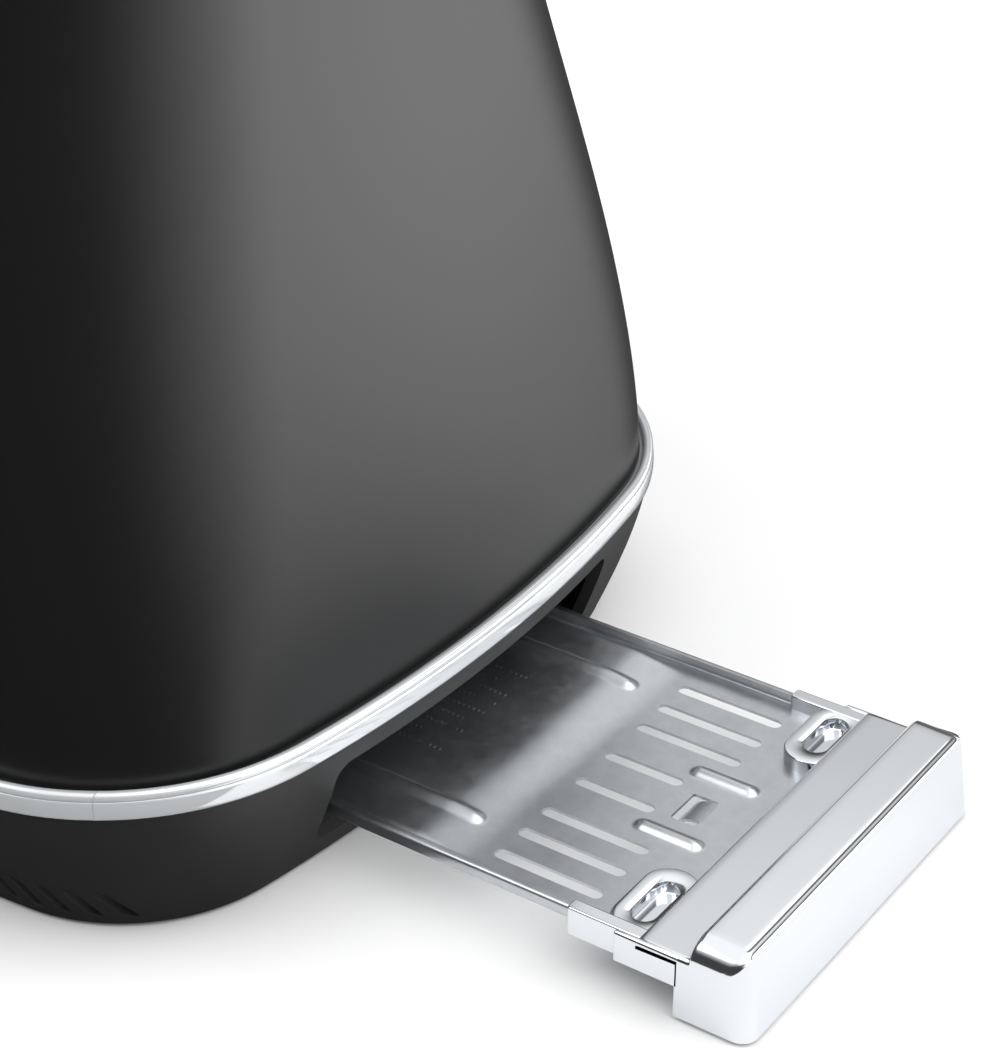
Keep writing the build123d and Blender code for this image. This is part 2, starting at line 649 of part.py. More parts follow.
# ================================================================ tray handle
def make_handle_grip():
    """Chromed grip block with a raked front and rounded upper sides."""
    profile = Polyline((handle_back, handle_foot), (handle_foot_front, handle_foot),
                       (handle_top_front, handle_top), (handle_back, handle_top), close=True)
    grip = extrude(Plane.XZ * make_face(profile), handle_half, both=True)
    grip += block(handle_side_back, handle_back, -handle_half, handle_half, handle_foot, flange_top)
    top_sides = [e for e in grip.edges().filter_by(Axis.X) if abs(e.center().Z - handle_top) < 0.01]
    grip = fillet(top_sides, handle_round)
    front = grip.faces().filter_by(lambda f: f.normal_at().X > 0.9).sort_by(Axis.X)[-1]
    return fillet(front.edges(), handle_edge)


def make_handle_tongue(side):
    """Rounded tongue over the tray's floor with a round-ended recess."""
    y0, y1 = sorted((side * tongue_in, side * tongue_out))
    tongue = block(tongue_front, flange_back, y0, y1, tray_floor, tongue_top)
    free = [e for e in tongue.edges().filter_by(Axis.Z)
            if hypot(e.center().X - tongue_front, e.center().Y - side * tongue_in) < 0.01]
    tongue = fillet(free, tongue_corner)
    y0, y1 = sorted((side * stadium_in, side * stadium_out))
    return tongue - rounded_slab(stadium_x - stadium_half, stadium_x + stadium_half, y0, y1,
                                 tray_floor + 0.5, tongue_top + 1, stadium_half - 0.1)


def make_handle_wing(side):
    """Side wing with a stepped-in clip that hooks over the tray's rim."""
    inner = side * (tray_half_width + fit_gap / 2)
    clip_out = side * (handle_half - clip_inset)
    clip_top = flange_top - fit_gap
    wing = block(clip_step, handle_side_back, *sorted((inner, side * handle_half)),
                 wing_foot, flange_top)
    wing += block(clip_front, clip_step, *sorted((inner, clip_out)), wing_foot + 0.4, clip_top)
    wing += block(clip_front, clip_step, *sorted((side * (tongue_out - 0.2), clip_out)),
                  tray_floor + tray_rim, clip_top)
    return wing


def make_tray_handle():
    """Chromed handle: grip, flange over the tray's end, side wings and two tongues."""
    handle = make_handle_grip()
    handle += block(flange_back, handle_back, -handle_half, handle_half, tray_floor, flange_top)
    for side in (-1, 1):
        handle += make_handle_wing(side)
        handle += make_handle_tongue(side)
    inner = tray_half_width + fit_gap / 2
    handle -= block(clip_front - 1, tray_front + fit_gap, -inner, inner,
                    tray_floor - tray_sheet - fit_gap, tray_floor)
    for side in (-1, 1):
        y0, y1 = sorted((side * (tray_half_width - tray_hem - 0.1), side * inner))
        handle -= block(clip_front - 1, tray_front + fit_gap, y0, y1,
                        tray_floor - tray_sheet - fit_gap, tray_floor + tray_rim)
    return handle


# ================================================================ controls
def make_control_panel():
    """Curved panel that fills the opening in the housing's front end."""
    frame = Pos(-half_length, 0, (panel_foot + panel_top) / 2) * Rot(0, 90, 0)
    shape = RectangleRounded(panel_top - panel_foot - 2 * fit_gap, 2 * (panel_half - fit_gap),
                             panel_corner - fit_gap)
    layer = housing_solid(panel_sunk) - housing_solid(panel_sunk + panel_thick)
    panel = layer & extrude(frame * shape, half_length / 3, both=True)
    low = lever_z - lift_travel - lever_arm_height / 2 - lever_slot_over
    high = lever_z + lever_arm_height / 2 + lever_slot_over
    panel -= rounded_slab(-half_length, -chamber_x, -lever_slot_half, lever_slot_half, low, high, 3)
    panel -= rod_x_way(-half_length, -chamber_x, 0, knob_z, shaft_radius + 1)
    for y in (-button_pitch, 0, button_pitch):
        panel -= rod_x_way(-half_length, -chamber_x, y, button_z, button_radius + fit_gap)
    return panel


def make_dial_ring():
    """Wedge-shaped ring round the browning knob, seated on the panel."""
    x = -housing_end(knob_z)
    inner = knob_radius + dial_gap
    ring = rod_x_way(x - dial_proud, x + 8, 0, knob_z, inner + dial_width)
    ring -= rod_x_way(x - 20, x + 20, 0, knob_z, inner)
    return ring - housing_solid(panel_sunk)


def make_browning_knob():
    """Fluted knob with a pointer groove and a blind bore for its shaft."""
    face = knob_x - knob_depth
    knob = rod_x_way(face, knob_x, 0, knob_z, knob_radius)
    knob = fillet(knob.edges().sort_by(Axis.X)[0], 2.0)
    for k in range(knob_flutes):
        angle = 2 * pi * k / knob_flutes
        y, z = knob_radius * sin(angle), knob_z + knob_radius * cos(angle)
        knob -= rod_x_way(face + 2.5, knob_x - 2, y, z, 0.7)
    knob -= block(face - 1, face + 1, -0.7, 0.7, knob_z + 4, knob_z + 11)
    return knob - rod_x_way(knob_x - knob_bore_depth, knob_x + 1, 0, knob_z,
                            shaft_radius + running_gap)


def make_knob_shaft():
    """Shaft from the potentiometer to the bottom of the knob's bore."""
    return rod_x_way(knob_x - knob_bore_depth, board_x - shaft_seat, 0, knob_z, shaft_radius)


def make_potentiometer():
    """Browning potentiometer on the control board, with a bush round its shaft."""
    face = board_x - pcb_thick / 2
    body = block(face - 7.2, face, -8.5, 8.5, knob_z - 8.5, knob_z + 8.5)
    body += rod_x_way(face - 10.2, face - 7.2, 0, knob_z, shaft_radius + 1.8)
    return body - rod_x_way(face - 12, board_x - shaft_seat + 0.2, 0, knob_z,
                            shaft_radius + running_gap)


def make_button(y):
    """Push button whose face follows the panel's slope, with a collar and a plunger."""
    cap = rod_x_way(-half_length, collar_x, y, button_z, button_radius) & housing_solid(-button_proud)
    collar = rod_x_way(collar_x, collar_x + collar_width, y, button_z, collar_reach)
    plunger_end = board_x - pcb_thick / 2 - switch_depth - button_travel - fit_gap
    stem = rod_x_way(collar_x + collar_width, plunger_end, y, button_z, 1.6)
    return cap + collar + stem


def make_tact_switches():
    """One switch on the board behind each button."""
    face = board_x - pcb_thick / 2
    switches = []
    for y in (-button_pitch, 0, button_pitch):
        switches.append(block(face - switch_depth, face, y - switch_half, y + switch_half,
                              button_z - switch_half, button_z + switch_half))
    return Compound(children=switches)


def board_screw_places():
    """Centres of the four holes near the board's corners, as (y, z)."""
    ys = (-pcb_half_y + pcb_hole_in, pcb_half_y - pcb_hole_in)
    zs = (pcb_foot + pcb_hole_in, pcb_head - pcb_hole_in)
    return [(y, z) for y in ys for z in zs]


def make_control_board():
    """Upright circuit board behind the panel."""
    board = block(board_x - pcb_thick / 2, board_x + pcb_thick / 2, -pcb_half_y, pcb_half_y,
                  pcb_foot, pcb_head)
    for y, z in board_screw_places():
        board -= rod_x_way(board_x - 3, board_x + 3, y, z, pcb_screw_radius + fit_gap)
    return board


def make_board_frame():
    """Two plastic posts on the chassis that hold the board by its edges."""
    back = board_x + pcb_thick / 2
    posts = []
    for s in (-1, 1):
        y0, y1 = sorted((s * (pcb_half_y - 8), s * pcb_half_y))
        post = block(back, back + 6, y0, y1, chassis_top, pcb_head)
        y0, y1 = sorted((s * (pcb_half_y - 12), s * (pcb_half_y + 2)))
        post += block(back, back + 12, y0, y1, chassis_top, chassis_top + 3)
        for y, z in board_screw_places():
            post -= rod_x_way(back - 1, back + 5.5, y, z, pcb_screw_radius + running_gap)
        posts.append(post)
    return Compound(children=posts)


def make_board_screws():
    """Screws that hold the board to its posts."""
    face = board_x - pcb_thick / 2
    screws = []
    for y, z in board_screw_places():
        head = rod_x_way(face - 1.8, face, y, z, pcb_screw_head)
        screws.append(head + rod_x_way(face, face + pcb_thick + 5, y, z, pcb_screw_radius))
    return Compound(children=screws)


def make_magnet_coil():
    """Winding and bobbin of the holding magnet."""
    top = magnet_top - 2
    coil = rod(magnet_x, 0, chassis_top, top, magnet_radius)
    coil += rod(magnet_x, 0, chassis_top, chassis_top + 1, magnet_radius + 1.2)
    coil += rod(magnet_x, 0, top - 1, top, magnet_radius + 1.2)
    return coil - rod(magnet_x, 0, chassis_top - 1, magnet_top, core_radius + running_gap)


def make_magnet_core():
    """Iron core of the holding magnet."""
    return rod(magnet_x, 0, chassis_top, magnet_top, core_radius)


def make_magnet_keeper():
    """Iron plate on the carriage that the magnet holds down."""
    return block(magnet_x - keeper_half_x, magnet_x + keeper_half_x, -keeper_half_y, keeper_half_y,
                 keeper_top - keeper_thick, keeper_top)


def make_relay():
    """Mains relay on the back of the board."""
    back = board_x + pcb_thick / 2
    return block(back, back + 11, 10, 20, pcb_foot + 12, pcb_foot + 30)


def make_capacitors():
    """Two smoothing capacitors on the back of the board."""
    back = board_x + pcb_thick / 2
    cans = [rod_x_way(back, back + 10, -16, pcb_foot + z, 4) for z in (16, 27)]
    return Compound(children=cans)


def make_control_chip():
    """Timer chip on the back of the board."""
    back = board_x + pcb_thick / 2
    return block(back, back + 2.4, -18, -10, pcb_head - 22, pcb_head - 8)


def make_terminal_block():
    """Mains terminal block on the chassis."""
    x1 = -chamber_x - sheet - plate_foot - fit_gap
    body = block(x1 - 16, x1, 34, 50, chassis_top, chassis_top + 12)
    for x in (x1 - 12, x1 - 4):
        body -= rod(x, 42, chassis_top + 5, chassis_top + 13, 2.2)
    return body


def make_bus_strips():
    """Two stamped copper strips on the front end plate that feed the heaters."""
    back = -chamber_x - sheet
    strips = []
    for s in (-1, 1):
        y0, y1 = sorted((s * 34, s * (chamber_y - 1)))
        strip = block(back - sheet, back, y0, y1, heater_top - 12, heater_top - 6)
        y0, y1 = sorted((s * (heater_y - 3), s * (heater_y + 3)))
        strip += block(back - sheet, back, y0, y1, chassis_top + sheet, heater_top - 6)
        strips.append(strip)
    return Compound(children=strips)


# ================================================================ write every piece
def all_pieces():
    """Every node's name and solid."""
    pieces = {
        "base_plinth": make_base_plinth(),
        "base_plate": make_base_plate(),
        "rubber_feet": make_rubber_feet(),
        "base_screws": make_base_screws(),
        "tray_rails": make_tray_rails(),
        "cord_gland": make_cord_gland(),
        "chrome_band": make_chrome_band(),
        "body_shell": make_body_shell(),
        "slot_surround": make_slot_surround(),
        "chassis_plate": make_chassis_plate(),
        "front_end_plate": make_end_plate(-1),
        "rear_end_plate": make_end_plate(1),
        "reflector_left": make_reflector(-1),
        "reflector_right": make_reflector(1),
        "heater_board_left": make_heater_board(-heater_y),
        "heater_board_right": make_heater_board(heater_y),
        "heater_board_centre": make_heater_board(0),
        "heater_ribbon_left": make_ribbon(-heater_y + board_thick / 2, 1),
        "heater_ribbon_right": make_ribbon(heater_y - board_thick / 2, -1),
        "heater_ribbon_centre": Compound(children=[make_ribbon(board_thick / 2, 1),
                                                   make_ribbon(-board_thick / 2, -1)]),
        "guide_rods": make_guide_rods(),
        "rod_bracket": make_rod_bracket(),
        "carriage": make_carriage(),
        "bread_rest_left": make_bread_rest(-1),
        "bread_rest_right": make_bread_rest(1),
        "lever_knob": make_lever_knob(),
        "lift_spring": make_lift_spring(),
        "magnet_keeper": make_magnet_keeper(),
        "magnet_coil": make_magnet_coil(),
        "magnet_core": make_magnet_core(),
        "guard_left_outer": make_guard(-guard_outer),
        "guard_left_inner": make_guard(-guard_inner),
        "guard_right_inner": make_guard(guard_inner),
        "guard_right_outer": make_guard(guard_outer),
        "crumb_tray": make_crumb_tray(),
        "tray_handle": make_tray_handle(),
        "control_panel": make_control_panel(),
        "dial_ring": make_dial_ring(),
        "browning_knob": make_browning_knob(),
        "knob_shaft": make_knob_shaft(),
        "potentiometer": make_potentiometer(),
        "reheat_button": make_button(-button_pitch),
        "cancel_button": make_button(0),
        "defrost_button": make_button(button_pitch),
        "tact_switches": make_tact_switches(),
        "control_board": make_control_board(),
        "board_frame": make_board_frame(),
        "board_screws": make_board_screws(),
        "power_relay": make_relay(),
        "capacitors": make_capacitors(),
        "control_chip": make_control_chip(),
        "terminal_block": make_terminal_block(),
        "bus_strips": make_bus_strips(),
    }
    return pieces


os.makedirs("parts", exist_ok=True)
for name, piece in all_pieces().items():
    export_step(piece, f"parts/{name}.step")
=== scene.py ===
import math

import bpy
import numpy as np
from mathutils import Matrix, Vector


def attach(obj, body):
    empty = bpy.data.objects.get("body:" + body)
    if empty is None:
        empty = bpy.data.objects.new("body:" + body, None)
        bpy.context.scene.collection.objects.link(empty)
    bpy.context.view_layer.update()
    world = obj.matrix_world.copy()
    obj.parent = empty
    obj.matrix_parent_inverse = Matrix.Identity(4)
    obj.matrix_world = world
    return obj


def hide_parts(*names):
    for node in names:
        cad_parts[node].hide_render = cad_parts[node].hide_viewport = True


# The looks of a two-slice pop-up toaster.  Points are worked out in millimetres and become
# metres when they are put into a mesh.  +Z is up and +X points out of the end that the
# crumb tray slides from.

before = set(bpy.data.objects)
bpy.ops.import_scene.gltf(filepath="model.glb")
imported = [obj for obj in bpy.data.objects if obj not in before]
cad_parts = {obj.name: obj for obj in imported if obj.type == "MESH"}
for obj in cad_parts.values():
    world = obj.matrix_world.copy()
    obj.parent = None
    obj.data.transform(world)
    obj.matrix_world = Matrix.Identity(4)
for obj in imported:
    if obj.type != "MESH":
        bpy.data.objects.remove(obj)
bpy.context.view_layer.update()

MM = 0.001
QUARTER = math.pi / 2

# ---------------------------------------------------------------- sizes, as in the part
half_length, half_width = 144.54, 92.98
end_bow, side_bow = 300.98, 1144.95
band_corner = 46.7
plinth_top, band_height = 29.6, 5.2
housing_foot, housing_top = 33.3, 200.0
housing_inset, housing_corner = 3.1, 42.1
housing_taper = (7.9, 59.5, -42.0)
crown = 12.0
well_half_x, well_half_y, well_corner = 81.0, 43.5, 9.0
window_half_y, window_foot, window_top, window_corner = 27.0, 42.0, 172.0, 8.0
seam_x, seam_gap = 120.3, 0.1
tray_half_width, tray_rear, tray_front = 37.55, -17.0, 206.0
tray_floor, tray_sheet, tray_rim_top = 10.1, 0.6, 12.5
handle_back, handle_half, handle_top, handle_foot = 207.5, 39.2, 17.0, 0.8
grip_front, foot_front, flange_back, flange_top = 217.0, 219.0, 197.3, 13.2
side_back = 204.8
tongue_rear, tongue_front, tongue_foot, tongue_top = 189.4, 199.4, 9.8, 12.8
tongue_in, tongue_out = 19.0, 37.9
stadium_x, stadium_in, stadium_out, stadium_half = 194.6, 22.7, 34.3, 2.2


# ================================================================ surfaces
def grid_faces(rows, columns, closed=False):
    """Four-sided faces of a grid of points; closed joins its last column to its first."""
    row = np.arange(rows - 1)[:, None]
    column = np.arange(columns if closed else columns - 1)[None]
    following = (column + 1) % columns
    corners = [row * columns + column, row * columns + following,
               (row + 1) * columns + following, (row + 1) * columns + column]
    return np.stack(corners, -1).reshape(-1, 4)


def outline(inset, corner, steps):
    """Bowed rectangle seen from above, one row for each inset and corner radius.

    A quarter is an end arc about a point on the X axis, a corner arc that touches both
    neighbours, and a side arc about a point on the Y axis; each is sampled by its angle.  The
    quarter is mirrored into the other three, anticlockwise from the +X axis."""
    inset, corner = np.broadcast_arrays(np.atleast_1d(inset), np.atleast_1d(corner))
    inset, corner = inset[:, None], corner[:, None]
    end_x = half_length - inset - end_bow
    side_y = half_width - inset - side_bow
    reach_end, reach_side = end_bow - corner, side_bow - corner
    apart = np.hypot(end_x, side_y)
    along = (reach_end ** 2 - reach_side ** 2 + apart ** 2) / (2 * apart)
    across = np.sqrt(reach_end ** 2 - along ** 2)
    toward_x, toward_y = -end_x / apart, side_y / apart
    corner_x = end_x + along * toward_x - across * toward_y
    corner_y = along * toward_y + across * toward_x
    end_turn = np.arctan2(corner_y, corner_x - end_x)
    side_turn = np.arctan2(corner_y - side_y, corner_x)
    shares = [np.linspace(0, 1, n, endpoint=False)[None] for n in steps]
    angle = end_turn * shares[0]
    end = end_x + end_bow * np.cos(angle), end_bow * np.sin(angle)
    angle = end_turn + (side_turn - end_turn) * shares[1]
    bend = corner_x + corner * np.cos(angle), corner_y + corner * np.sin(angle)
    angle = side_turn + (QUARTER - side_turn) * shares[2]
    side = side_bow * np.cos(angle), side_y + side_bow * np.sin(angle)
    x = np.concatenate([end[0], bend[0], side[0], np.zeros_like(inset)], 1)
    y = np.concatenate([end[1], bend[1], side[1], side_y + side_bow], 1)
    return four_quarters(x, y)


def four_quarters(x, y):
    """Mirrors the quarter that runs from the +X axis to the +Y axis into a whole loop."""
    back_x, back_y = x[:, :0:-1], y[:, :0:-1]
    on_x, on_y = x[:, :-1], y[:, :-1]
    return (np.concatenate([on_x, -back_x, -on_x, back_x], 1),
            np.concatenate([on_y, back_y, -on_y, -back_y], 1))


def rounded_loop(half_x, half_y, corner, steps):
    """Rounded rectangle with as many points in each part of its quarter as an outline has."""
    shares = [np.linspace(0, 1, n, endpoint=False)[None] for n in steps]
    angle = QUARTER * shares[1]
    x = [half_x + 0 * shares[0], half_x - corner + corner * np.cos(angle),
         (half_x - corner) * (1 - shares[2]), np.zeros((1, 1))]
    y = [(half_y - corner) * shares[0], half_y - corner + corner * np.sin(angle),
         half_y + 0 * shares[2], np.full((1, 1), half_y)]
    return four_quarters(np.concatenate(x, 1), np.concatenate(y, 1))


def rounded_distance(a, b, half_a, half_b, corner):
    """Distance to the edge of a rounded rectangle about the origin, below zero inside it."""
    over_a, over_b = np.abs(a) - half_a + corner, np.abs(b) - half_b + corner
    beyond = np.hypot(np.maximum(over_a, 0), np.maximum(over_b, 0))
    return beyond + np.minimum(np.maximum(over_a, over_b), 0) - corner


def cut_holes(u, v, distance, allowed=None, closed=False):
    """Grid faces outside the holes, and the points with the holes' edges made smooth.

    A face goes when its middle is inside a hole.  A point between kept and lost faces slides
    down the slope of the distance until the distance is zero."""
    rows, columns = u.shape
    faces = grid_faces(rows, columns, closed)
    u, v = u.ravel().copy(), v.ravel().copy()
    lost = distance(u[faces].mean(1), v[faces].mean(1)) < 0
    if allowed is not None:
        lost &= allowed.ravel()[faces].all(1)
    kept_point, lost_point = np.zeros(u.size, bool), np.zeros(u.size, bool)
    kept_point[faces[~lost]] = True
    lost_point[faces[lost]] = True
    edge = kept_point & lost_point
    a, b, small = u[edge], v[edge], 0.01
    for _ in range(5):
        slope_a = (distance(a + small, b) - distance(a - small, b)) / (2 * small)
        slope_b = (distance(a, b + small) - distance(a, b - small)) / (2 * small)
        step = distance(a, b) / (slope_a ** 2 + slope_b ** 2 + 1e-9)
        a, b = a - step * slope_a, b - step * slope_b
    u[edge], v[edge] = a, b
    return u, v, faces[~lost], edge


def smooth_step(low, high, value):
    """Rises from 0 at low to 1 at high with no kink at either end."""
    share = np.clip((value - low) / (high - low), 0, 1)
    return share * share * (3 - 2 * share)


# ================================================================ putting surfaces into meshes
def make_piece(name, points, faces, body, finish, stands_for, wall=0.0, sharp=35):
    """A piece from points in millimetres and faces.

    wall is a sheet's thickness, put on behind its outward side.  Edges that turn by more than
    sharp degrees stay crisp."""
    used = np.unique(np.concatenate([np.ravel(face) for face in faces]))
    place = np.zeros(len(points), int)
    place[used] = np.arange(used.size)
    mesh = bpy.data.meshes.new(name)
    loops = [place[np.asarray(face)].tolist() for face in faces]
    mesh.from_pydata((points[used] * MM).tolist(), [], loops)
    piece = bpy.data.objects.new(name, mesh)
    bpy.context.scene.collection.objects.link(piece)
    mesh.materials.append(finish)
    if wall:
        modifier = piece.modifiers.new("wall", "SOLIDIFY")
        modifier.thickness, modifier.offset = wall * MM, -1
        graph = bpy.context.evaluated_depsgraph_get()
        piece.data = bpy.data.meshes.new_from_object(piece.evaluated_get(graph))
        piece.modifiers.clear()
    piece.data.shade_smooth()
    piece.data.set_sharp_from_angle(angle=math.radians(sharp))
    part_edges(piece.data)
    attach(piece, body)
    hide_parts(*stands_for)
    return piece


def part_edges(mesh, sides=6):
    """Keeps flat many-sided faces flat: their edges become sharp."""
    edges = {edge.key: edge for edge in mesh.edges}
    for face in mesh.polygons:
        if len(face.vertices) > sides:
            for key in face.edge_keys:
                edges[key].use_edge_sharp = True


# ================================================================ finishes
class Field:
    """A number that varies over a surface.  An expression on fields adds its Math nodes."""

    def __init__(self, finish, socket):
        self.finish, self.socket = finish, socket

    def __add__(self, other):
        return self.finish.math("ADD", self, other)

    def __sub__(self, other):
        return self.finish.math("SUBTRACT", self, other)

    def __rsub__(self, other):
        return self.finish.math("SUBTRACT", other, self)

    def __mul__(self, other):
        return self.finish.math("MULTIPLY", self, other)

    def __truediv__(self, other):
        return self.finish.math("DIVIDE", self, other)

    def __gt__(self, other):
        return self.finish.math("GREATER_THAN", self, other)

    def __lt__(self, other):
        return self.finish.math("LESS_THAN", self, other)

    __radd__, __rmul__ = __add__, __mul__

    def rise(self, low, high):
        """0 below low, 1 above high, smooth between them."""
        settings = {"interpolation_type": "SMOOTHSTEP"}
        values = {"Value": self, "From Min": low, "From Max": high}
        return self.finish.field("ShaderNodeMapRange", settings, values)


class Finish:
    """One material and the nodes that make it."""

    def __init__(self, name, tree=None):
        if tree is None:
            self.material = bpy.data.materials.new(name)
            self.material.use_nodes = True
            tree = self.material.node_tree
            self.shader = tree.nodes["Principled BSDF"]
        self.tree = tree

    def node(self, kind, settings=(), values=()):
        """A node of a type, with its settings and then its sockets' values or links."""
        node = self.tree.nodes.new(kind)
        for key, value in dict(settings).items():
            setattr(node, key, value)
        for key, value in dict(values).items():
            if isinstance(value, Field):
                self.tree.links.new(value.socket, node.inputs[key])
            else:
                node.inputs[key].default_value = value
        return node

    def field(self, kind, settings=(), values=(), output=0):
        return Field(self, self.node(kind, settings, values).outputs[output])

    def math(self, operation, first, second):
        return self.field("ShaderNodeMath", {"operation": operation}, {0: first, 1: second})

    def place(self, stretch=(1, 1, 1)):
        """Object coordinates in metres, stretched by a Mapping node."""
        at = self.field("ShaderNodeTexCoord", output="Object")
        if stretch == (1, 1, 1):
            return at
        return self.field("ShaderNodeMapping", {}, {"Vector": at, "Scale": stretch})

    def axes(self):
        """Object X, Y and Z in millimetres."""
        scaled = self.field("ShaderNodeVectorMath", {"operation": "SCALE"},
                            {"Vector": self.place(), "Scale": 1000.0})
        split = self.node("ShaderNodeSeparateXYZ", {}, {"Vector": scaled})
        return [Field(self, socket) for socket in split.outputs]

    def noise(self, size, detail=3.0, rough=0.5, stretch=(1, 1, 1)):
        """Noise between 0 and 1 whose lumps are about size millimetres across."""
        values = {"Vector": self.place(stretch), "Scale": 1000.0 / size, "Detail": detail,
                  "Roughness": rough}
        return self.field("ShaderNodeTexNoise", {}, values)

    def cells(self, size):
        """Distance from the middle of cells that are about size millimetres across."""
        values = {"Vector": self.place(), "Scale": 1000.0 / size}
        return self.field("ShaderNodeTexVoronoi", {}, values, "Distance")

    def blend(self, share, first, second):
        """A colour between two colours."""
        node = self.node("ShaderNodeMix", {"data_type": "RGBA"}, {"Factor": share})
        for key, value in ((6, first), (7, second)):
            if isinstance(value, Field):
                self.tree.links.new(value.socket, node.inputs[key])
            else:
                node.inputs[key].default_value = (*value, 1)
        return Field(self, node.outputs[2])

    def bump(self, height, depth, strength):
        """A normal from a height; depth is the millimetres that height 1 stands for."""
        values = {"Height": height, "Distance": depth * MM, "Strength": strength}
        self.set(Normal=self.field("ShaderNodeBump", {}, values, "Normal"))
        return self

    def set(self, **values):
        """Values or links for the shader's sockets; an underscore stands for a space."""
        for key, value in values.items():
            socket = self.shader.inputs[key.replace("_", " ")]
            if isinstance(value, Field):
                self.tree.links.new(value.socket, socket)
            else:
                socket.default_value = (*value, 1) if isinstance(value, tuple) else value
        return self


def painted_black():
    """Satin black paint: faint orange peel, broad soft gloss, a little dust in the sheen."""
    finish = Finish("satin_black_paint")
    cloud = finish.noise(38, 2)
    peel = finish.noise(0.9, 2)
    finish.set(Base_Color=finish.blend(cloud, (0.0052, 0.0052, 0.0054), (0.0066, 0.0066, 0.0068)),
               Roughness=0.33 + 0.03 * cloud + 0.03 * peel)
    finish.set(**{"Specular IOR Level": 0.46})
    return finish.bump(peel, 0.012, 0.5).material


def moulded(name, dark, light, rough=0.48, grain=0.35, depth=0.02, gloss=0.5):
    """Moulded plastic: fine spark-eroded texture over slow unevenness of colour."""
    finish = Finish(name)
    cloud = finish.noise(22, 2)
    texture = finish.noise(grain, 3, 0.6)
    finish.set(Base_Color=finish.blend(cloud, dark, light),
               Roughness=rough + 0.06 * texture + 0.03 * cloud)
    finish.set(**{"Specular IOR Level": gloss})
    return finish.bump(texture, depth, 0.6).material


def plated(name, tint, rough, metal=1.0):
    """Chrome plate: mirror with slow waviness and faint hairlines."""
    finish = Finish(name)
    wave = finish.noise(26, 1)
    hair = finish.noise(0.5, 2, 0.5, (0.06, 1, 1))
    light = tuple(min(1.0, c * 1.06) for c in tint)
    finish.set(Base_Color=finish.blend(wave, tint, light), Metallic=metal,
               Roughness=rough + 0.03 * hair + 0.02 * wave)
    return finish.bump(wave + 0.02 * hair, 0.05, 0.35).material


def sheet_metal(name, dark, light, rough, along=(1, 1, 1), grain=0.5, blotch=9.0, depth=0.008):
    """Rolled steel: streaks along the rolling direction, blotches and fine scratches."""
    finish = Finish(name)
    streak = finish.noise(grain, 3, 0.6, along)
    blot = finish.noise(blotch, 3, 0.55)
    finish.set(Base_Color=finish.blend(0.55 * blot + 0.45 * streak, dark, light), Metallic=1.0,
               Roughness=rough + 0.14 * blot + 0.10 * streak)
    return finish.bump(streak, depth, 0.6).material


def galvanised():
    """Zinc-coated tray sheet: spangle, smoky blotches, fine scratches and stamped dashes."""
    finish = Finish("galvanised_sheet")
    x, y, _ = finish.axes()
    spangle = finish.cells(3.2)
    mottle = finish.noise(1.5, 4, 0.7)
    smoke = finish.noise(16, 3, 0.6)
    scratch = finish.noise(0.35, 2, 0.5, (0.12, 1, 1))
    tone = 0.42 * smoke + 0.33 * mottle + 0.15 * spangle + 0.10 * scratch
    in_rows = finish.math("PINGPONG", y + 14.0, 1.7).rise(1.25, 1.45)
    in_dashes = finish.math("PINGPONG", x, 0.55).rise(0.16, 0.3)
    broken = finish.noise(2.4, 1).rise(0.42, 0.5)
    block = (x.rise(118.0, 118.4) * (1 - x.rise(139.6, 140.0))
             * y.rise(-14.2, -13.8) * (1 - y.rise(16.3, 16.7)))
    dashes = in_rows * in_dashes * block * broken
    finish.set(Base_Color=finish.blend(tone, (0.40, 0.42, 0.44), (0.74, 0.76, 0.79)), Metallic=1.0,
               Roughness=0.20 + 0.16 * smoke + 0.14 * mottle)
    return finish.bump(mottle * 0.25 + scratch * 0.12 + dashes * 2.0, 0.05, 0.5).material


def mica():
    """Pressed mica board: pale gold flakes, dark specks, layers that catch the light."""
    finish = Finish("mica_board")
    flake = finish.cells(2.6)
    cloud = finish.noise(12, 4, 0.6)
    speck = finish.noise(0.7, 2) > 0.66
    base = finish.blend(0.6 * cloud + 0.4 * flake, (0.42, 0.34, 0.22), (0.66, 0.58, 0.42))
    finish.set(Base_Color=finish.blend(speck * 0.5, base, (0.14, 0.10, 0.06)),
               Roughness=0.34 + 0.3 * flake)
    return finish.bump(flake + 0.3 * cloud, 0.03, 0.5).material


def circuit_board():
    """Green lacquered board: straight tracks under the lacquer, pads, a fine weave."""
    finish = Finish("circuit_board")
    _, y, z = finish.axes()
    lane = finish.math("PINGPONG", y + 2.0 * (finish.noise(14, 0) > 0.5), 1.3).rise(0.7, 0.8)
    run = finish.math("PINGPONG", z + 1.5 * (finish.noise(11, 0) > 0.5), 1.7).rise(1.2, 1.3)
    track = finish.math("MAXIMUM", lane * (finish.noise(9, 0) > 0.48),
                        run * (finish.noise(8, 0) > 0.56))
    pad = finish.cells(4.0) < 0.16
    green = finish.blend(track, (0.010, 0.075, 0.030), (0.030, 0.145, 0.060))
    finish.set(Base_Color=finish.blend(pad, green, (0.62, 0.60, 0.55)), Metallic=0.8 * pad,
               Roughness=0.30 + 0.10 * finish.noise(0.5, 2))
    return finish.bump(track + pad, 0.03, 0.6).material


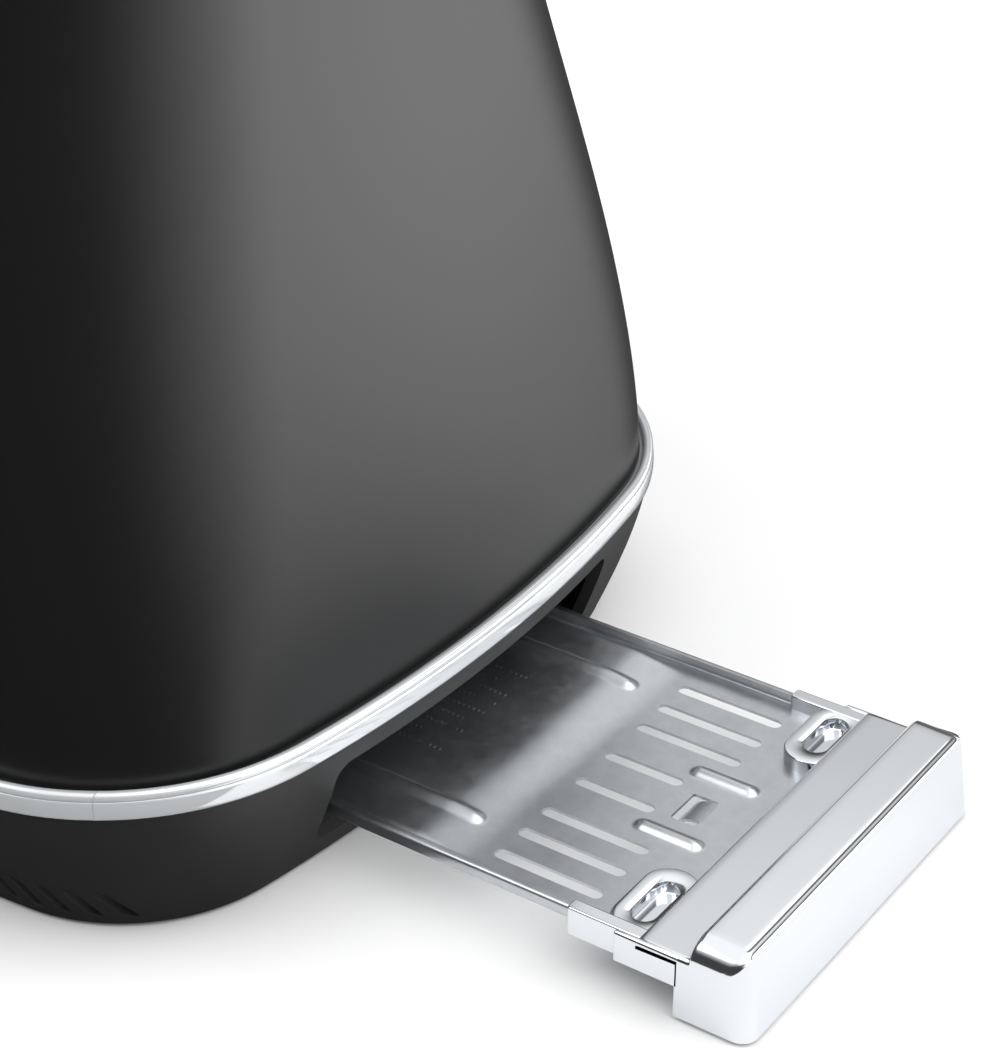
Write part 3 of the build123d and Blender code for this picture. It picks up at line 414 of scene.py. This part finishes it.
def coil_winding():
    """Enamelled copper wire: close turns round the bobbin, with painted shade in the grooves and a
    painted highlight on each turn's crown.
    """
    finish = Finish("copper_winding")
    z = finish.axes()[2]
    wire = 0.25
    # turn is the height of the wire turns for the bump, and also the mask of the painted groove
    # shade and crown highlight.
    turn = finish.math("PINGPONG", z, wire) / wire
    wander = finish.noise(5, 2)
    # share carries painted shade and highlight: dark in the grooves and light on the crowns (turn),
    # mixed with random tone (wander).
    share = 0.7 * turn + 0.3 * wander
    finish.set(Base_Color=finish.blend(share, (0.20, 0.07, 0.025), (0.62, 0.27, 0.11)),
               Metallic=0.85, Roughness=0.26 + 0.12 * wander)
    return finish.bump(turn, 0.10, 0.8).material


# ================================================================ outer pieces
shell_steps = (30, 20, 24)
window_end_x, window_reach_y = -60, 45      # only the wrap's -X end has the window


def housing_set_in(z):
    """How far the wrap's face lies inside the widest outline at a height."""
    u = (z - housing_foot) / (housing_top - housing_foot)
    a, b, c = housing_taper
    return housing_inset + a * u + b * u ** 2 + c * u ** 3


def housing_shell(finish):
    """Painted wrap: an outline at each height up the tapered side, a quarter-round crown, and
    a flat top that runs in straight lines from the crown to the well's rounded edge.  The
    window for the controls is cut through the -X end."""
    side_z = np.linspace(housing_foot, housing_top - crown, 72)
    turn = np.linspace(0, QUARTER, 11)[1:]
    shrink = np.concatenate([np.zeros(side_z.size), crown * (1 - np.cos(turn))])
    z = np.concatenate([side_z, housing_top - crown + crown * np.sin(turn)])
    inset = housing_set_in(np.minimum(z, housing_top - crown)) + shrink
    x, y = outline(inset, housing_corner - shrink, shell_steps)
    well_x, well_y = rounded_loop(well_half_x, well_half_y, well_corner, shell_steps)
    share = np.linspace(0, 1, 5)[1:, None]
    x = np.concatenate([x, x[-1:] * (1 - share) + well_x * share])
    y = np.concatenate([y, y[-1:] * (1 - share) + well_y * share])
    z = np.repeat(np.concatenate([z, np.full(4, housing_top)])[:, None], x.shape[1], 1)

    def window(a, b):
        middle = (window_foot + window_top) / 2
        return rounded_distance(a, b - middle, window_half_y, window_top - middle, window_corner)

    allowed = (x < window_end_x) & (np.abs(y) < window_reach_y) & (z < housing_top - crown)
    flat_y, flat_z, faces, edge = cut_holes(y, z, window, allowed, closed=True)
    flat_x = x.ravel().copy()
    end_x = half_length - housing_set_in(flat_z[edge]) - end_bow
    flat_x[edge] = -(end_x + np.sqrt(end_bow ** 2 - flat_y[edge] ** 2))
    points = np.stack([flat_x, flat_y, flat_z], 1)
    return make_piece("housing_wrap", points, faces, "housing", finish,
                      ["body_shell"], wall=1.0)


plinth_foot, plinth_foot_inset, plinth_foot_corner, plinth_curve = 0.8, 11.05, 32.4, 1.3
mouth_half, mouth_foot, mouth_top, mouth_corner = 41.5, 5.9, 24.8, 3.2
slit_count, slit_pitch, slit_half, slit_lean = 10, 4.85, 1.15, 0.38
slit_first, slit_foot, slit_top = 115.6, 3.0, 10.4
foot_round = 0.5
fine_top, flange_from = 26.5, 26.8          # the wall's fine rows end, the flange's begin
flange_in = (0.4, 4.0, 8.0)                 # how far in the rows of the top flange lie
mouth_end_x = 126                           # in front of this X a wall point belongs to the end
side_start_x, side_start_y = 40, 50         # where the slits' part of a side may begin
openings_top = 27
unrolled, halfway = 1000, 500               # a side point's place is its X plus unrolled


def plinth_set_in(z):
    """How far the base's wall lies inside the widest outline at a height."""
    share = np.maximum(1 - z / plinth_top, 0) ** plinth_curve
    return 1.0 + (plinth_foot_inset - 1.0) * share


def plinth_corner_at(z):
    """Corner radius of the base's wall at a height."""
    return plinth_foot_corner + (band_corner - 1.0 - plinth_foot_corner) * z / plinth_top


def plinth(finish):
    """Base: an outline at each height up the curved wall, with a turned-under foot and the
    flange round its top.  The tray's mouth and the leaning air slits are cut through it, in a
    flat map of the wall: a point of the end has its Y as its place, and one of a side its X."""
    wall_foot = plinth_foot + foot_round
    wall_z = np.concatenate([np.linspace(wall_foot, fine_top, 64),
                             np.linspace(flange_from, plinth_top - flange_in[0], 5)])
    turn = np.linspace(0, QUARTER, 5)[:-1]
    z = np.concatenate([wall_foot - foot_round * np.cos(turn), wall_z,
                        np.full(len(flange_in), plinth_top)])
    inset = plinth_set_in(np.maximum(z, wall_foot))
    inset[:turn.size] += foot_round - foot_round * np.sin(turn)
    inset[-len(flange_in):] += flange_in
    corner = plinth_corner_at(z)
    corner[-len(flange_in):] -= flange_in
    x, y = outline(inset, corner, (46, 60, 60))
    z = np.repeat(z[:, None], x.shape[1], 1)
    place = np.where(x > mouth_end_x, y, unrolled + x)

    def openings(a, b):
        middle = (mouth_foot + mouth_top) / 2
        mouth = rounded_distance(a, b - middle, mouth_half, mouth_top - middle, mouth_corner)
        along = a - unrolled - (slit_top - b) * slit_lean
        nearest = np.clip(np.round((slit_first - along) / slit_pitch), 0, slit_count - 1)
        middle = (slit_foot + slit_top) / 2
        slit = rounded_distance(along - slit_first + nearest * slit_pitch, b - middle, slit_half,
                                slit_top - middle, slit_half - 0.02)
        return np.where(a < halfway, mouth, slit)

    on_side = np.abs(y) > side_start_y
    allowed = (z < openings_top) & ((x > mouth_end_x) | on_side) & (x > side_start_x)
    flat_u, flat_z, faces, edge = cut_holes(place, z, openings, allowed, closed=True)
    flat_x, flat_y = x.ravel().copy(), y.ravel().copy()
    moved = np.flatnonzero(edge)
    new_z = flat_z[moved]
    row_x, row_y = outline(plinth_set_in(new_z), plinth_corner_at(new_z), (60, 90, 60))
    half = row_x.shape[1] // 2
    for k, point in enumerate(moved):
        across, along = row_y[k, :half], row_x[k, :half]
        if flat_u[point] < halfway:
            flat_y[point] = flat_u[point]
            flat_x[point] = np.interp(abs(flat_u[point]), across[:half // 2], along[:half // 2])
        else:
            flat_x[point] = flat_u[point] - unrolled
            flat_y[point] = math.copysign(np.interp(-flat_x[point], -along, across), flat_y[point])
    points = np.stack([flat_x, flat_y, flat_z], 1)
    return make_piece("base_wall", points, faces, "housing", finish,
                      ["base_plinth"], wall=2.2, sharp=50)


def band_profile():
    """Cross-section of the band as (inset, height): a slightly full face, a groove, a rolled lip,
    the ledge that the wrap stands on, and a flat underside."""
    foot, top = plinth_top, plinth_top + band_height
    face_z = np.linspace(foot + 0.5, top - 1.60, 7)
    middle, reach = face_z.mean(), (face_z[-1] - face_z[0]) / 2
    face = np.stack([0.16 * ((face_z - middle) / reach) ** 2, face_z], 1)
    groove = np.array([[0.22, top - 1.54], [0.75, top - 1.50],
                       [0.80, top - 1.42], [0.75, top - 1.36]])
    turn = np.linspace(-0.33, math.pi, 12)
    roll = np.stack([1.16 - np.cos(turn), top - 1.0 + np.sin(turn)], 1)
    ledge = np.array([[2.16, housing_foot + 0.25], [2.4, housing_foot], [7.5, housing_foot],
                      [7.5, foot], [0.6, foot], [0.3, foot + 0.14]])
    return np.concatenate([face, groove, roll, ledge])


def chrome_band(finish):
    """Chrome strip: its cross-section carried along the outline, with a gap at its joint."""
    profile = band_profile()
    inset, height = profile[:, 0], profile[:, 1]
    x, y = outline(inset, band_corner - inset, (40, 36, 40))
    count = x.shape[1]
    quarter = count // 4
    clear = 1.5                             # outline points this near the joint are left out
    first = 3 * quarter + int(np.argmax(x[0, 3 * quarter:] > seam_x + clear))
    last = 3 * quarter + int(np.argmax(x[0, 3 * quarter:] > seam_x - clear)) - 1

    last_x, last_y = x[:, 3 * quarter:], y[:, 3 * quarter:]
    ends = []
    for end_x in (seam_x + seam_gap / 2, seam_x - seam_gap / 2):
        end_y = [np.interp(end_x, row_x, row_y) for row_x, row_y in zip(last_x, last_y)]
        ends.append((np.full((len(inset), 1), end_x), np.array(end_y)[:, None]))
    order = np.concatenate([np.arange(first, count), np.arange(0, last + 1)])
    x = np.concatenate([ends[0][0], x[:, order], ends[1][0]], 1)
    y = np.concatenate([ends[0][1], y[:, order], ends[1][1]], 1)
    z = np.repeat(height[:, None], x.shape[1], 1)
    rows, columns = x.shape
    points = np.stack([x.T, y.T, z.T], -1).reshape(-1, 3)
    faces = [face[::-1] for face in grid_faces(columns, rows, closed=True)]
    faces += [np.arange(rows), (columns - 1) * rows + np.arange(rows)[::-1]]
    return make_piece("foot_band", points, faces, "housing", finish,
                      ["chrome_band"], sharp=50)


# ================================================================ crumb tray
long_rows, short_row, slot_half = (29.7, 22.5, 15.3), 4.7, 1.3
slot_rear, long_front, short_front = tray_front - 42.6, tray_front - 21.1, tray_front - 26.6
bead_rear, bead_front, bead_y = tray_front - 118.6, tray_front - 48.6, 24.5
rib_rear, rib_front, rib_y = tray_front - 27.5, tray_front - 14.0, 9.3
catch_x, catch_y, catch_half_x, catch_half_y = tray_front - 20.9, -0.6, 2.5, 4.1
catch_length, catch_drop, catch_side = 4.2, 2.6, (-3.6, 2.4)
step_rear, step_front, step_rise = 150.0, 162.0, 1.2    # the low step in the floor
step_full_y, step_none_y = 34.0, 36.2                   # it fades out beside the rims
tray_stations = ((tray_rear, 128, 40), (128, 148, 16), (148, 162, 24), (162, 193, 64))


def tray_section():
    """The sheet's outer face across the tray: sideways place and height against floor place.

    Flat floor, a bend up, the rim, a bend in and a short hem, the same on both sides."""
    bend, hem = 1.2, 0.75
    low = tray_floor - tray_sheet
    turn = np.linspace(0, QUARTER, 6)
    y = np.concatenate([tray_half_width - bend + bend * np.sin(turn),
                        tray_half_width - hem + hem * np.cos(turn), [tray_half_width - 1.4]])
    z = np.concatenate([low + bend - bend * np.cos(turn),
                        tray_rim_top - hem + hem * np.sin(turn), [tray_rim_top]])
    floor = np.linspace(-(tray_half_width - bend), tray_half_width - bend, 150)[1:-1]
    y = np.concatenate([-y[::-1], floor, y])
    z = np.concatenate([z[::-1], np.full(floor.size, low), z])
    run = np.concatenate([[0], np.cumsum(np.hypot(np.diff(y), np.diff(z)))])
    return y, z, run - run[-1] / 2


def tray_holes(x, s):
    """Distance to the nearest slot or to the catch's window."""
    far = rounded_distance(x - catch_x, s - catch_y, catch_half_x, catch_half_y, 0.35)
    for row, front in [(row, long_front) for row in long_rows] + [(short_row, short_front)]:
        middle, reach = (slot_rear + front) / 2, (front - slot_rear) / 2
        away = rounded_distance(x - middle, np.abs(s) - row, reach, slot_half, slot_half)
        far = np.minimum(far, away)
    return far


def pressed_rib(x, s, rear, front, row, half, rise):
    """A long bump with round ends: a cosine hill of the distance from its middle line."""
    past = np.maximum(np.maximum(rear + half - x, x - front + half), 0)
    away = np.hypot(past, np.abs(s) - row) / half
    return rise * (0.5 + 0.5 * np.cos(math.pi * np.clip(away, 0, 1)))


def crumb_tray(finish):
    """Tray sheet: its cross-section carried along X, with the pressed beads and ribs and a
    low step added to the floor's height, and the slots cut out.  The catch is a small tab that
    curls down a quarter turn from the front edge of its window."""
    across_y, across_z, run = tray_section()
    parts = [np.linspace(start, stop, count, endpoint=False)
             for start, stop, count in tray_stations]
    along = np.concatenate(parts + [np.linspace(tray_stations[-1][1], tray_front, 10)])
    x, s = np.meshgrid(along, run, indexing="ij")
    flat_x, flat_s, faces, _ = cut_holes(x, s, tray_holes)
    y, z = np.interp(flat_s, run, across_y), np.interp(flat_s, run, across_z)
    level = 1 - smooth_step(step_full_y, step_none_y, np.abs(y))
    lift = step_rise * (1 - smooth_step(step_rear, step_front, flat_x)) * level
    lift += pressed_rib(flat_x, y, bead_rear, bead_front, bead_y, 1.9, 0.9)
    lift += pressed_rib(flat_x, y, rib_rear, rib_front, rib_y, 1.7, 1.1)
    points = np.stack([flat_x, y, z + lift], 1)
    tray = make_piece("tray_pan", points, faces, "tray", finish,
                      ["crumb_tray"], wall=tray_sheet, sharp=50)
    tray.visible_shadow = False
    down, side = np.meshgrid(np.linspace(0, QUARTER, 9), np.linspace(*catch_side, 7),
                             indexing="ij")
    points = np.stack([catch_x + catch_half_x + 0.2 - catch_length * np.sin(down), side,
                       tray_floor - 0.05 - catch_drop * (1 - np.cos(down))], -1).reshape(-1, 3)
    make_piece("catch_tab", points, grid_faces(9, 7)[:, ::-1], "tray", finish,
               ["crumb_tray"], wall=tray_sheet, sharp=50)


# ================================================================ tray handle
skirt_top = 11.4                            # the flange's underside and the sides' upper edge
grip_round, flange_round, front_round = 4.2, 1.0, 3.2
front_fixed = 6                             # below this height the front keeps its shape
grip_tilt, flange_tilt = 0.03, 0.02
clip_rear, clip_front, clip_in, clip_foot, clip_top = 183.3, 198.0, 35.5, 7.4, 12.9
wing_rear, wing_front, wing_in, wing_foot, wing_top = 193.0, 205.5, 37.9, 7.0, 12.95


def arc(middle_a, middle_b, radius, start, stop, steps):
    """Points on a circle from one angle to another, in degrees."""
    turn = np.radians(np.linspace(start, stop, steps))
    return np.stack([middle_a + radius * np.cos(turn), middle_b + radius * np.sin(turn)], 1)


def end_drop(y, radius):
    """How far a round of this radius has fallen at a distance along the handle."""
    past = np.clip((np.abs(y) - handle_half + radius) / radius, 0, 1)
    return radius * (1 - np.sqrt(np.maximum(1 - past ** 2, 0)))


def handle_skin():
    """Grip and flange: one section in X and Z, carried along Y.

    The section runs from the flange's rear edge over the flange, up the grip's back, over the
    top and down the leaning front.  Near the ends the grip's top and the flange fall by a
    quarter circle each, and the front draws back by one.  Both tops tilt a little."""
    lean = math.degrees(math.atan2(foot_front - grip_front, handle_top - handle_foot))
    front = arc(grip_front - 1.5, handle_top - 1.5, 1.5, 90, lean, 9)
    down = np.linspace(0, 1, 12)[1:, None]
    foot = np.array([[foot_front, handle_foot]])
    section = np.concatenate([
        [[flange_back, skirt_top]], arc(flange_back + 0.5, flange_top - 0.5, 0.5, 180, 90, 5),
        np.stack([np.linspace(flange_back + 2, handle_back - 1.2, 5), np.full(5, flange_top)], 1),
        arc(handle_back - 0.6, flange_top + 0.6, 0.6, -90, 0, 5),
        arc(handle_back + 1.0, handle_top - 1.0, 1.0, 180, 90, 8),
        np.stack([np.linspace(handle_back + 2.2, grip_front - 2.4, 5), np.full(5, handle_top)], 1),
        front, front[-1:] * (1 - down) + foot * down,
        [[side_back, handle_foot], [side_back, skirt_top]]])
    on_flange = 11
    turn = np.linspace(0, QUARTER, 15)
    edge = handle_half - grip_round + grip_round * np.sin(turn)
    middle = np.linspace(-(handle_half - grip_round), handle_half - grip_round, 48)[1:-1]
    y = np.concatenate([-edge[::-1], middle, edge])[:, None]
    x, z = section[None, :, 0], section[None, :, 1]
    fall = np.clip((z - skirt_top) / (flange_top - skirt_top), 0, 1)
    flange_z = z - end_drop(y, flange_round) * fall
    low, high = flange_top - end_drop(y, flange_round), handle_top - end_drop(y, grip_round)
    back_z = low + (z - flange_top) / (handle_top - flange_top) * (high - low)
    squeezed = front_fixed + (z - front_fixed) * (high - front_fixed) / (handle_top - front_fixed)
    front_z = np.where(z > front_fixed, squeezed, z)
    index = np.arange(x.shape[1])[None]
    ahead = x > handle_back + 3
    raised = np.where(index < on_flange, flange_z, np.where(ahead, front_z, back_z))
    z = np.where((z < 11.5) & ~ahead, z, raised)
    z = z - np.where(z > handle_top - 0.9, grip_tilt * (x - handle_back), 0)
    z = z - np.where(index < on_flange, flange_tilt * (handle_back - x), 0)
    x = x - end_drop(y, front_round) * np.clip((x - handle_back - 4) / 4.5, 0, 1)
    points = np.stack([x, np.repeat(y, x.shape[1], 1), z], -1)
    rows, columns = x.shape
    faces = list(grid_faces(rows, columns, closed=True))
    faces += [np.arange(columns), (rows - 1) * columns + np.arange(columns)[::-1]]
    return points.reshape(-1, 3), faces


def stacked_loops(loops):
    """Points and faces of closed loops in a row, with the first and the last one filled in."""
    points = np.concatenate([np.stack([x, y, np.full(x.size, z)], 1) for x, y, z in loops])
    count = loops[0][0].size
    faces = list(grid_faces(len(loops), count, closed=True))
    faces += [np.arange(count) + (len(loops) - 1) * count, np.arange(count)[::-1]]
    return points, faces


def rounded_block(x0, x1, y0, y1, z0, z1, corner, edge=0.35, steps=(3, 5, 3)):
    """A block with rounded upright corners and a small round along its top."""
    y0, y1 = min(y0, y1), max(y0, y1)
    turn = np.linspace(0, QUARTER, 5)
    levels = [(0, z0)]
    levels += [(edge - edge * math.cos(t), z1 - edge + edge * math.sin(t)) for t in turn]
    loops = []
    for inset, height in levels:
        x, y = rounded_loop((x1 - x0) / 2 - inset, (y1 - y0) / 2 - inset,
                            max(corner - inset, 0.05), steps)
        loops.append(((x0 + x1) / 2 + x[0], (y0 + y1) / 2 + y[0], height))
    return loops


def tongue_skin(side):
    """A tongue behind the flange: rounded block with a sunk stadium-shaped pocket in its top.

    Closed loops, from the tongue's foot up its wall, over a small round, across the top to the
    pocket's edge, down the pocket and across its floor."""
    steps = (8, 12, 14)
    loops = rounded_block(tongue_rear, tongue_front, side * tongue_in, side * tongue_out,
                          tongue_foot, tongue_top, 4.9, 0.3, steps)
    pocket_y = side * (stadium_in + stadium_out) / 2
    pocket_half = (stadium_out - stadium_in) / 2
    pocket = ((0.25, tongue_top), (0.07, 12.72), (0, 12.5), (-0.12, 10.6), (-0.4, 10.4))
    for grow, height in pocket:
        x, y = rounded_loop(stadium_half + grow, pocket_half + grow,
                            stadium_half + grow - 0.02, steps)
        loops.append((stadium_x + x[0], pocket_y + y[0], height))
    return stacked_loops(loops)


def tray_handle(finish):
    """Handle: the closed skin of its grip and flange and, on each side, a tongue, a clip and a
    wing."""
    def add(name, points, faces):
        make_piece(name, points, faces, "tray", finish, ["tray_handle"], sharp=40)

    add("handle_shell", *handle_skin())
    for side, end in ((-1, "left"), (1, "right")):
        add("tongue_" + end, *tongue_skin(side))
        clip = rounded_block(clip_rear, clip_front, side * clip_in, side * (handle_half - 1),
                             clip_foot, clip_top, 0.6)
        add("clip_" + end, *stacked_loops(clip))
        wing = rounded_block(wing_rear, wing_front, side * wing_in, side * handle_half,
                             wing_foot, wing_top, 0.4, edge=0.6)
        add("wing_" + end, *stacked_loops(wing))


# ================================================================ camera, floor and light
def stand_camera():
    """Camera above the tray's corner, looking down at the base."""
    turn, tip = math.radians(34.63), math.radians(31.40)
    data = bpy.data.cameras.new("view")
    data.lens, data.sensor_width, data.sensor_fit = 98.88, 36.0, "AUTO"
    data.clip_start, data.clip_end = 0.01, 50
    camera = bpy.data.objects.new("view", data)
    bpy.context.scene.collection.objects.link(camera)
    camera.location = (0.38704, -0.35369, 0.31397)
    look = Vector((-math.sin(turn) * math.cos(tip), math.cos(turn) * math.cos(tip), -math.sin(tip)))
    camera.rotation_euler = look.to_track_quat("-Z", "Y").to_euler()
    bpy.context.scene.camera = camera


def lay_floor():
    """Plain white studio floor that no reflection shows, and a patch of it round the handle that
    only reflections show."""
    mesh = bpy.data.meshes.new("floor")
    reach = 12.0
    corners = [(-reach, -reach, 0), (reach, -reach, 0), (reach, reach, 0), (-reach, reach, 0)]
    mesh.from_pydata(corners, [], [(0, 1, 2, 3)])
    floor = bpy.data.objects.new("floor", mesh)
    bpy.context.scene.collection.objects.link(floor)
    finish = Finish("floor_white")
    finish.set(Base_Color=(0.86, 0.86, 0.86), Roughness=0.9)
    finish.set(**{"Specular IOR Level": 0.0})
    mesh.materials.append(finish.material)
    floor.visible_glossy = False
    sheet = floor.copy()
    sheet.data = floor.data.copy()
    sheet.name = "floor_mirrored"
    rear, front, right, left = 0.150, 0.330, -0.075, 0.120
    corners = [(rear, right, 0), (front, right, 0), (front, left, 0), (rear, left, 0)]
    sheet.data.vertices.foreach_set("co", np.array(corners, np.float32).ravel())
    bpy.context.scene.collection.objects.link(sheet)
    sheet.location.z = 0.0001
    sheet.visible_glossy = True
    sheet.visible_camera = sheet.visible_diffuse = sheet.visible_shadow = False


# Soft round patches of the room: the way to the middle, and the cosines of the angles at which
# the patch begins and is full.
sky_gap = (0.02, 0.70, 0.70), 0.94, 0.985
broad_lamp = (0.62, 0.10, 0.80), 0.74, 0.97
small_lamp = (-0.485, -0.45, 0.75), 0.94, 0.98
side_glow = (-0.709, 0.702, 0.0), 0.93, 0.98
handle_glow = (-0.16, 0.68, 0.715), 0.988, 0.997
high_sweep = (0.4659, 0.3038, 0.8312), 0.168, 0.968
low_sweep = (0.6645, 0.6953, -0.2739), 0.673, 1.521


def light_room():
    """Soft studio light: an even sky with a darker gap, two lamps, two small glows and, below
    the sky's lower edge, two broad sweeps that give the housing its gradient."""
    world = bpy.data.worlds.new("room")
    bpy.context.scene.world = world
    world.use_nodes = True
    room = Finish("room", world.node_tree)
    toward = room.field("ShaderNodeTexCoord", output="Generated")
    split = room.node("ShaderNodeSeparateXYZ", {}, {"Vector": toward})
    z = Field(room, split.outputs["Z"])

    def lobe(direction, low, high):
        aim = Vector(direction).normalized()
        share = room.field("ShaderNodeVectorMath", {"operation": "DOT_PRODUCT"},
                           {0: toward, 1: tuple(aim)}, "Value")
        return share.rise(low, high)

    sky = 1.15 * z.rise(0.28, 0.80) * (1 - 0.9 * lobe(*sky_gap))
    lamps = 1.8 * lobe(*broad_lamp) + 2.6 * lobe(*small_lamp)
    glow = 0.9 * lobe(*side_glow) + 1.6 * lobe(*handle_glow)
    sweep = 9.0 * lobe(*high_sweep) + 5.0 * lobe(*low_sweep)
    strength = 0.06 + sky + lamps + glow + sweep * (1 - z.rise(0.05, 0.28))
    background = world.node_tree.nodes["Background"]
    background.inputs["Color"].default_value = (1.0, 1.0, 1.0, 1)
    world.node_tree.links.new(strength.socket, background.inputs["Strength"])
    bpy.context.scene.view_settings.view_transform = "Standard"


stand_camera()
lay_floor()
light_room()

black_paint = painted_black()
black_plastic = moulded("satin_black_plastic", (0.014, 0.014, 0.014), (0.019, 0.019, 0.019))
band_chrome = plated("band_chrome", (0.70, 0.72, 0.74), 0.06, 0.45)
handle_chrome = plated("satin_chrome", (0.74, 0.76, 0.79), 0.09)
zinc = galvanised()
housing_shell(black_paint)
plinth(black_plastic)
chrome_band(band_chrome)
crumb_tray(zinc)
tray_handle(handle_chrome)

steel = sheet_metal("rolled_steel", (0.36, 0.37, 0.38), (0.58, 0.59, 0.60),
                    rough=0.28, along=(1, 0.08, 1))
bright_steel = sheet_metal("polished_steel", (0.60, 0.60, 0.61), (0.74, 0.74, 0.75),
                           rough=0.16, along=(0.05, 1, 1), grain=0.3, blotch=30, depth=0.004)
zinc_plate = sheet_metal("zinc_plated_steel", (0.50, 0.51, 0.50), (0.66, 0.66, 0.62),
                         rough=0.30, grain=0.8, blotch=6)
spring_wire = sheet_metal("spring_wire", (0.30, 0.30, 0.31), (0.50, 0.50, 0.51),
                          rough=0.30, along=(1, 1, 0.2), grain=0.4, blotch=5)
scorched = sheet_metal("heated_wire", (0.34, 0.30, 0.26), (0.56, 0.53, 0.50),
                       rough=0.34, along=(0.1, 1, 1), blotch=12)
resistance = sheet_metal("resistance_ribbon", (0.20, 0.19, 0.18), (0.36, 0.33, 0.30),
                         rough=0.38, along=(0.1, 1, 1), grain=0.3, blotch=8)
mirror_steel = sheet_metal("reflector_steel", (0.62, 0.61, 0.58), (0.76, 0.75, 0.72),
                           rough=0.20, along=(0.08, 1, 1), grain=0.4, blotch=26)
iron = sheet_metal("bare_iron", (0.22, 0.21, 0.20), (0.36, 0.35, 0.33),
                   rough=0.40, grain=0.6, blotch=5)
brass = sheet_metal("brass_strip", (0.66, 0.50, 0.24), (0.80, 0.63, 0.34),
                    rough=0.26, along=(1, 0.1, 1), grain=0.4, blotch=7)
black_panel = moulded("panel_black", (0.010, 0.010, 0.011), (0.014, 0.014, 0.015),
                      rough=0.34, grain=0.25, depth=0.008)
button_black = moulded("button_black", (0.018, 0.018, 0.019), (0.026, 0.026, 0.027),
                       rough=0.42, grain=0.3, depth=0.012)
grey_print = moulded("dial_grey", (0.16, 0.16, 0.17), (0.22, 0.22, 0.23),
                     rough=0.40, grain=0.3, depth=0.010)
rubber = moulded("black_rubber", (0.020, 0.020, 0.020), (0.032, 0.031, 0.030),
                 rough=0.78, grain=0.6, depth=0.05, gloss=0.3)
nylon = moulded("white_nylon", (0.62, 0.61, 0.57), (0.72, 0.71, 0.67), rough=0.42, grain=0.5)
cream = moulded("cream_plastic", (0.50, 0.47, 0.38), (0.60, 0.57, 0.47), rough=0.46, grain=0.4)
relay_blue = moulded("relay_blue", (0.03, 0.08, 0.22), (0.05, 0.11, 0.28),
                     rough=0.34, grain=0.4, depth=0.01)
chip_black = moulded("chip_black", (0.022, 0.022, 0.023), (0.034, 0.034, 0.035),
                     rough=0.55, grain=0.25)
finishes = {
    "body_shell": black_paint, "base_plinth": black_plastic, "chrome_band": band_chrome,
    "crumb_tray": zinc, "tray_handle": handle_chrome, "slot_surround": bright_steel,
    "control_panel": black_panel, "dial_ring": grey_print, "browning_knob": button_black,
    "lever_knob": button_black, "reheat_button": button_black, "cancel_button": button_black,
    "defrost_button": button_black, "rubber_feet": rubber, "cord_gland": rubber,
    "tray_rails": zinc_plate, "base_plate": zinc_plate, "base_screws": zinc_plate,
    "board_screws": zinc_plate, "chassis_plate": steel, "front_end_plate": steel,
    "rear_end_plate": steel, "rod_bracket": steel, "carriage": zinc_plate,
    "bread_rest_left": scorched, "bread_rest_right": scorched, "guide_rods": spring_wire,
    "lift_spring": spring_wire, "guard_left_inner": scorched, "guard_left_outer": scorched,
    "guard_right_inner": scorched, "guard_right_outer": scorched, "reflector_left": mirror_steel,
    "reflector_right": mirror_steel, "heater_board_left": mica(), "heater_board_right": mica(),
    "heater_board_centre": mica(), "heater_ribbon_left": resistance,
    "heater_ribbon_right": resistance, "heater_ribbon_centre": resistance, "bus_strips": brass,
    "board_frame": cream, "control_board": circuit_board(), "control_chip": chip_black,
    "capacitors": relay_blue, "power_relay": relay_blue, "terminal_block": nylon,
    "tact_switches": chip_black, "potentiometer": cream, "knob_shaft": nylon,
    "magnet_coil": coil_winding(), "magnet_core": iron, "magnet_keeper": iron,
}
for name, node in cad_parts.items():
    node.material_slots[0].material = finishes.get(name, steel)

bpy.context.view_layer.update()
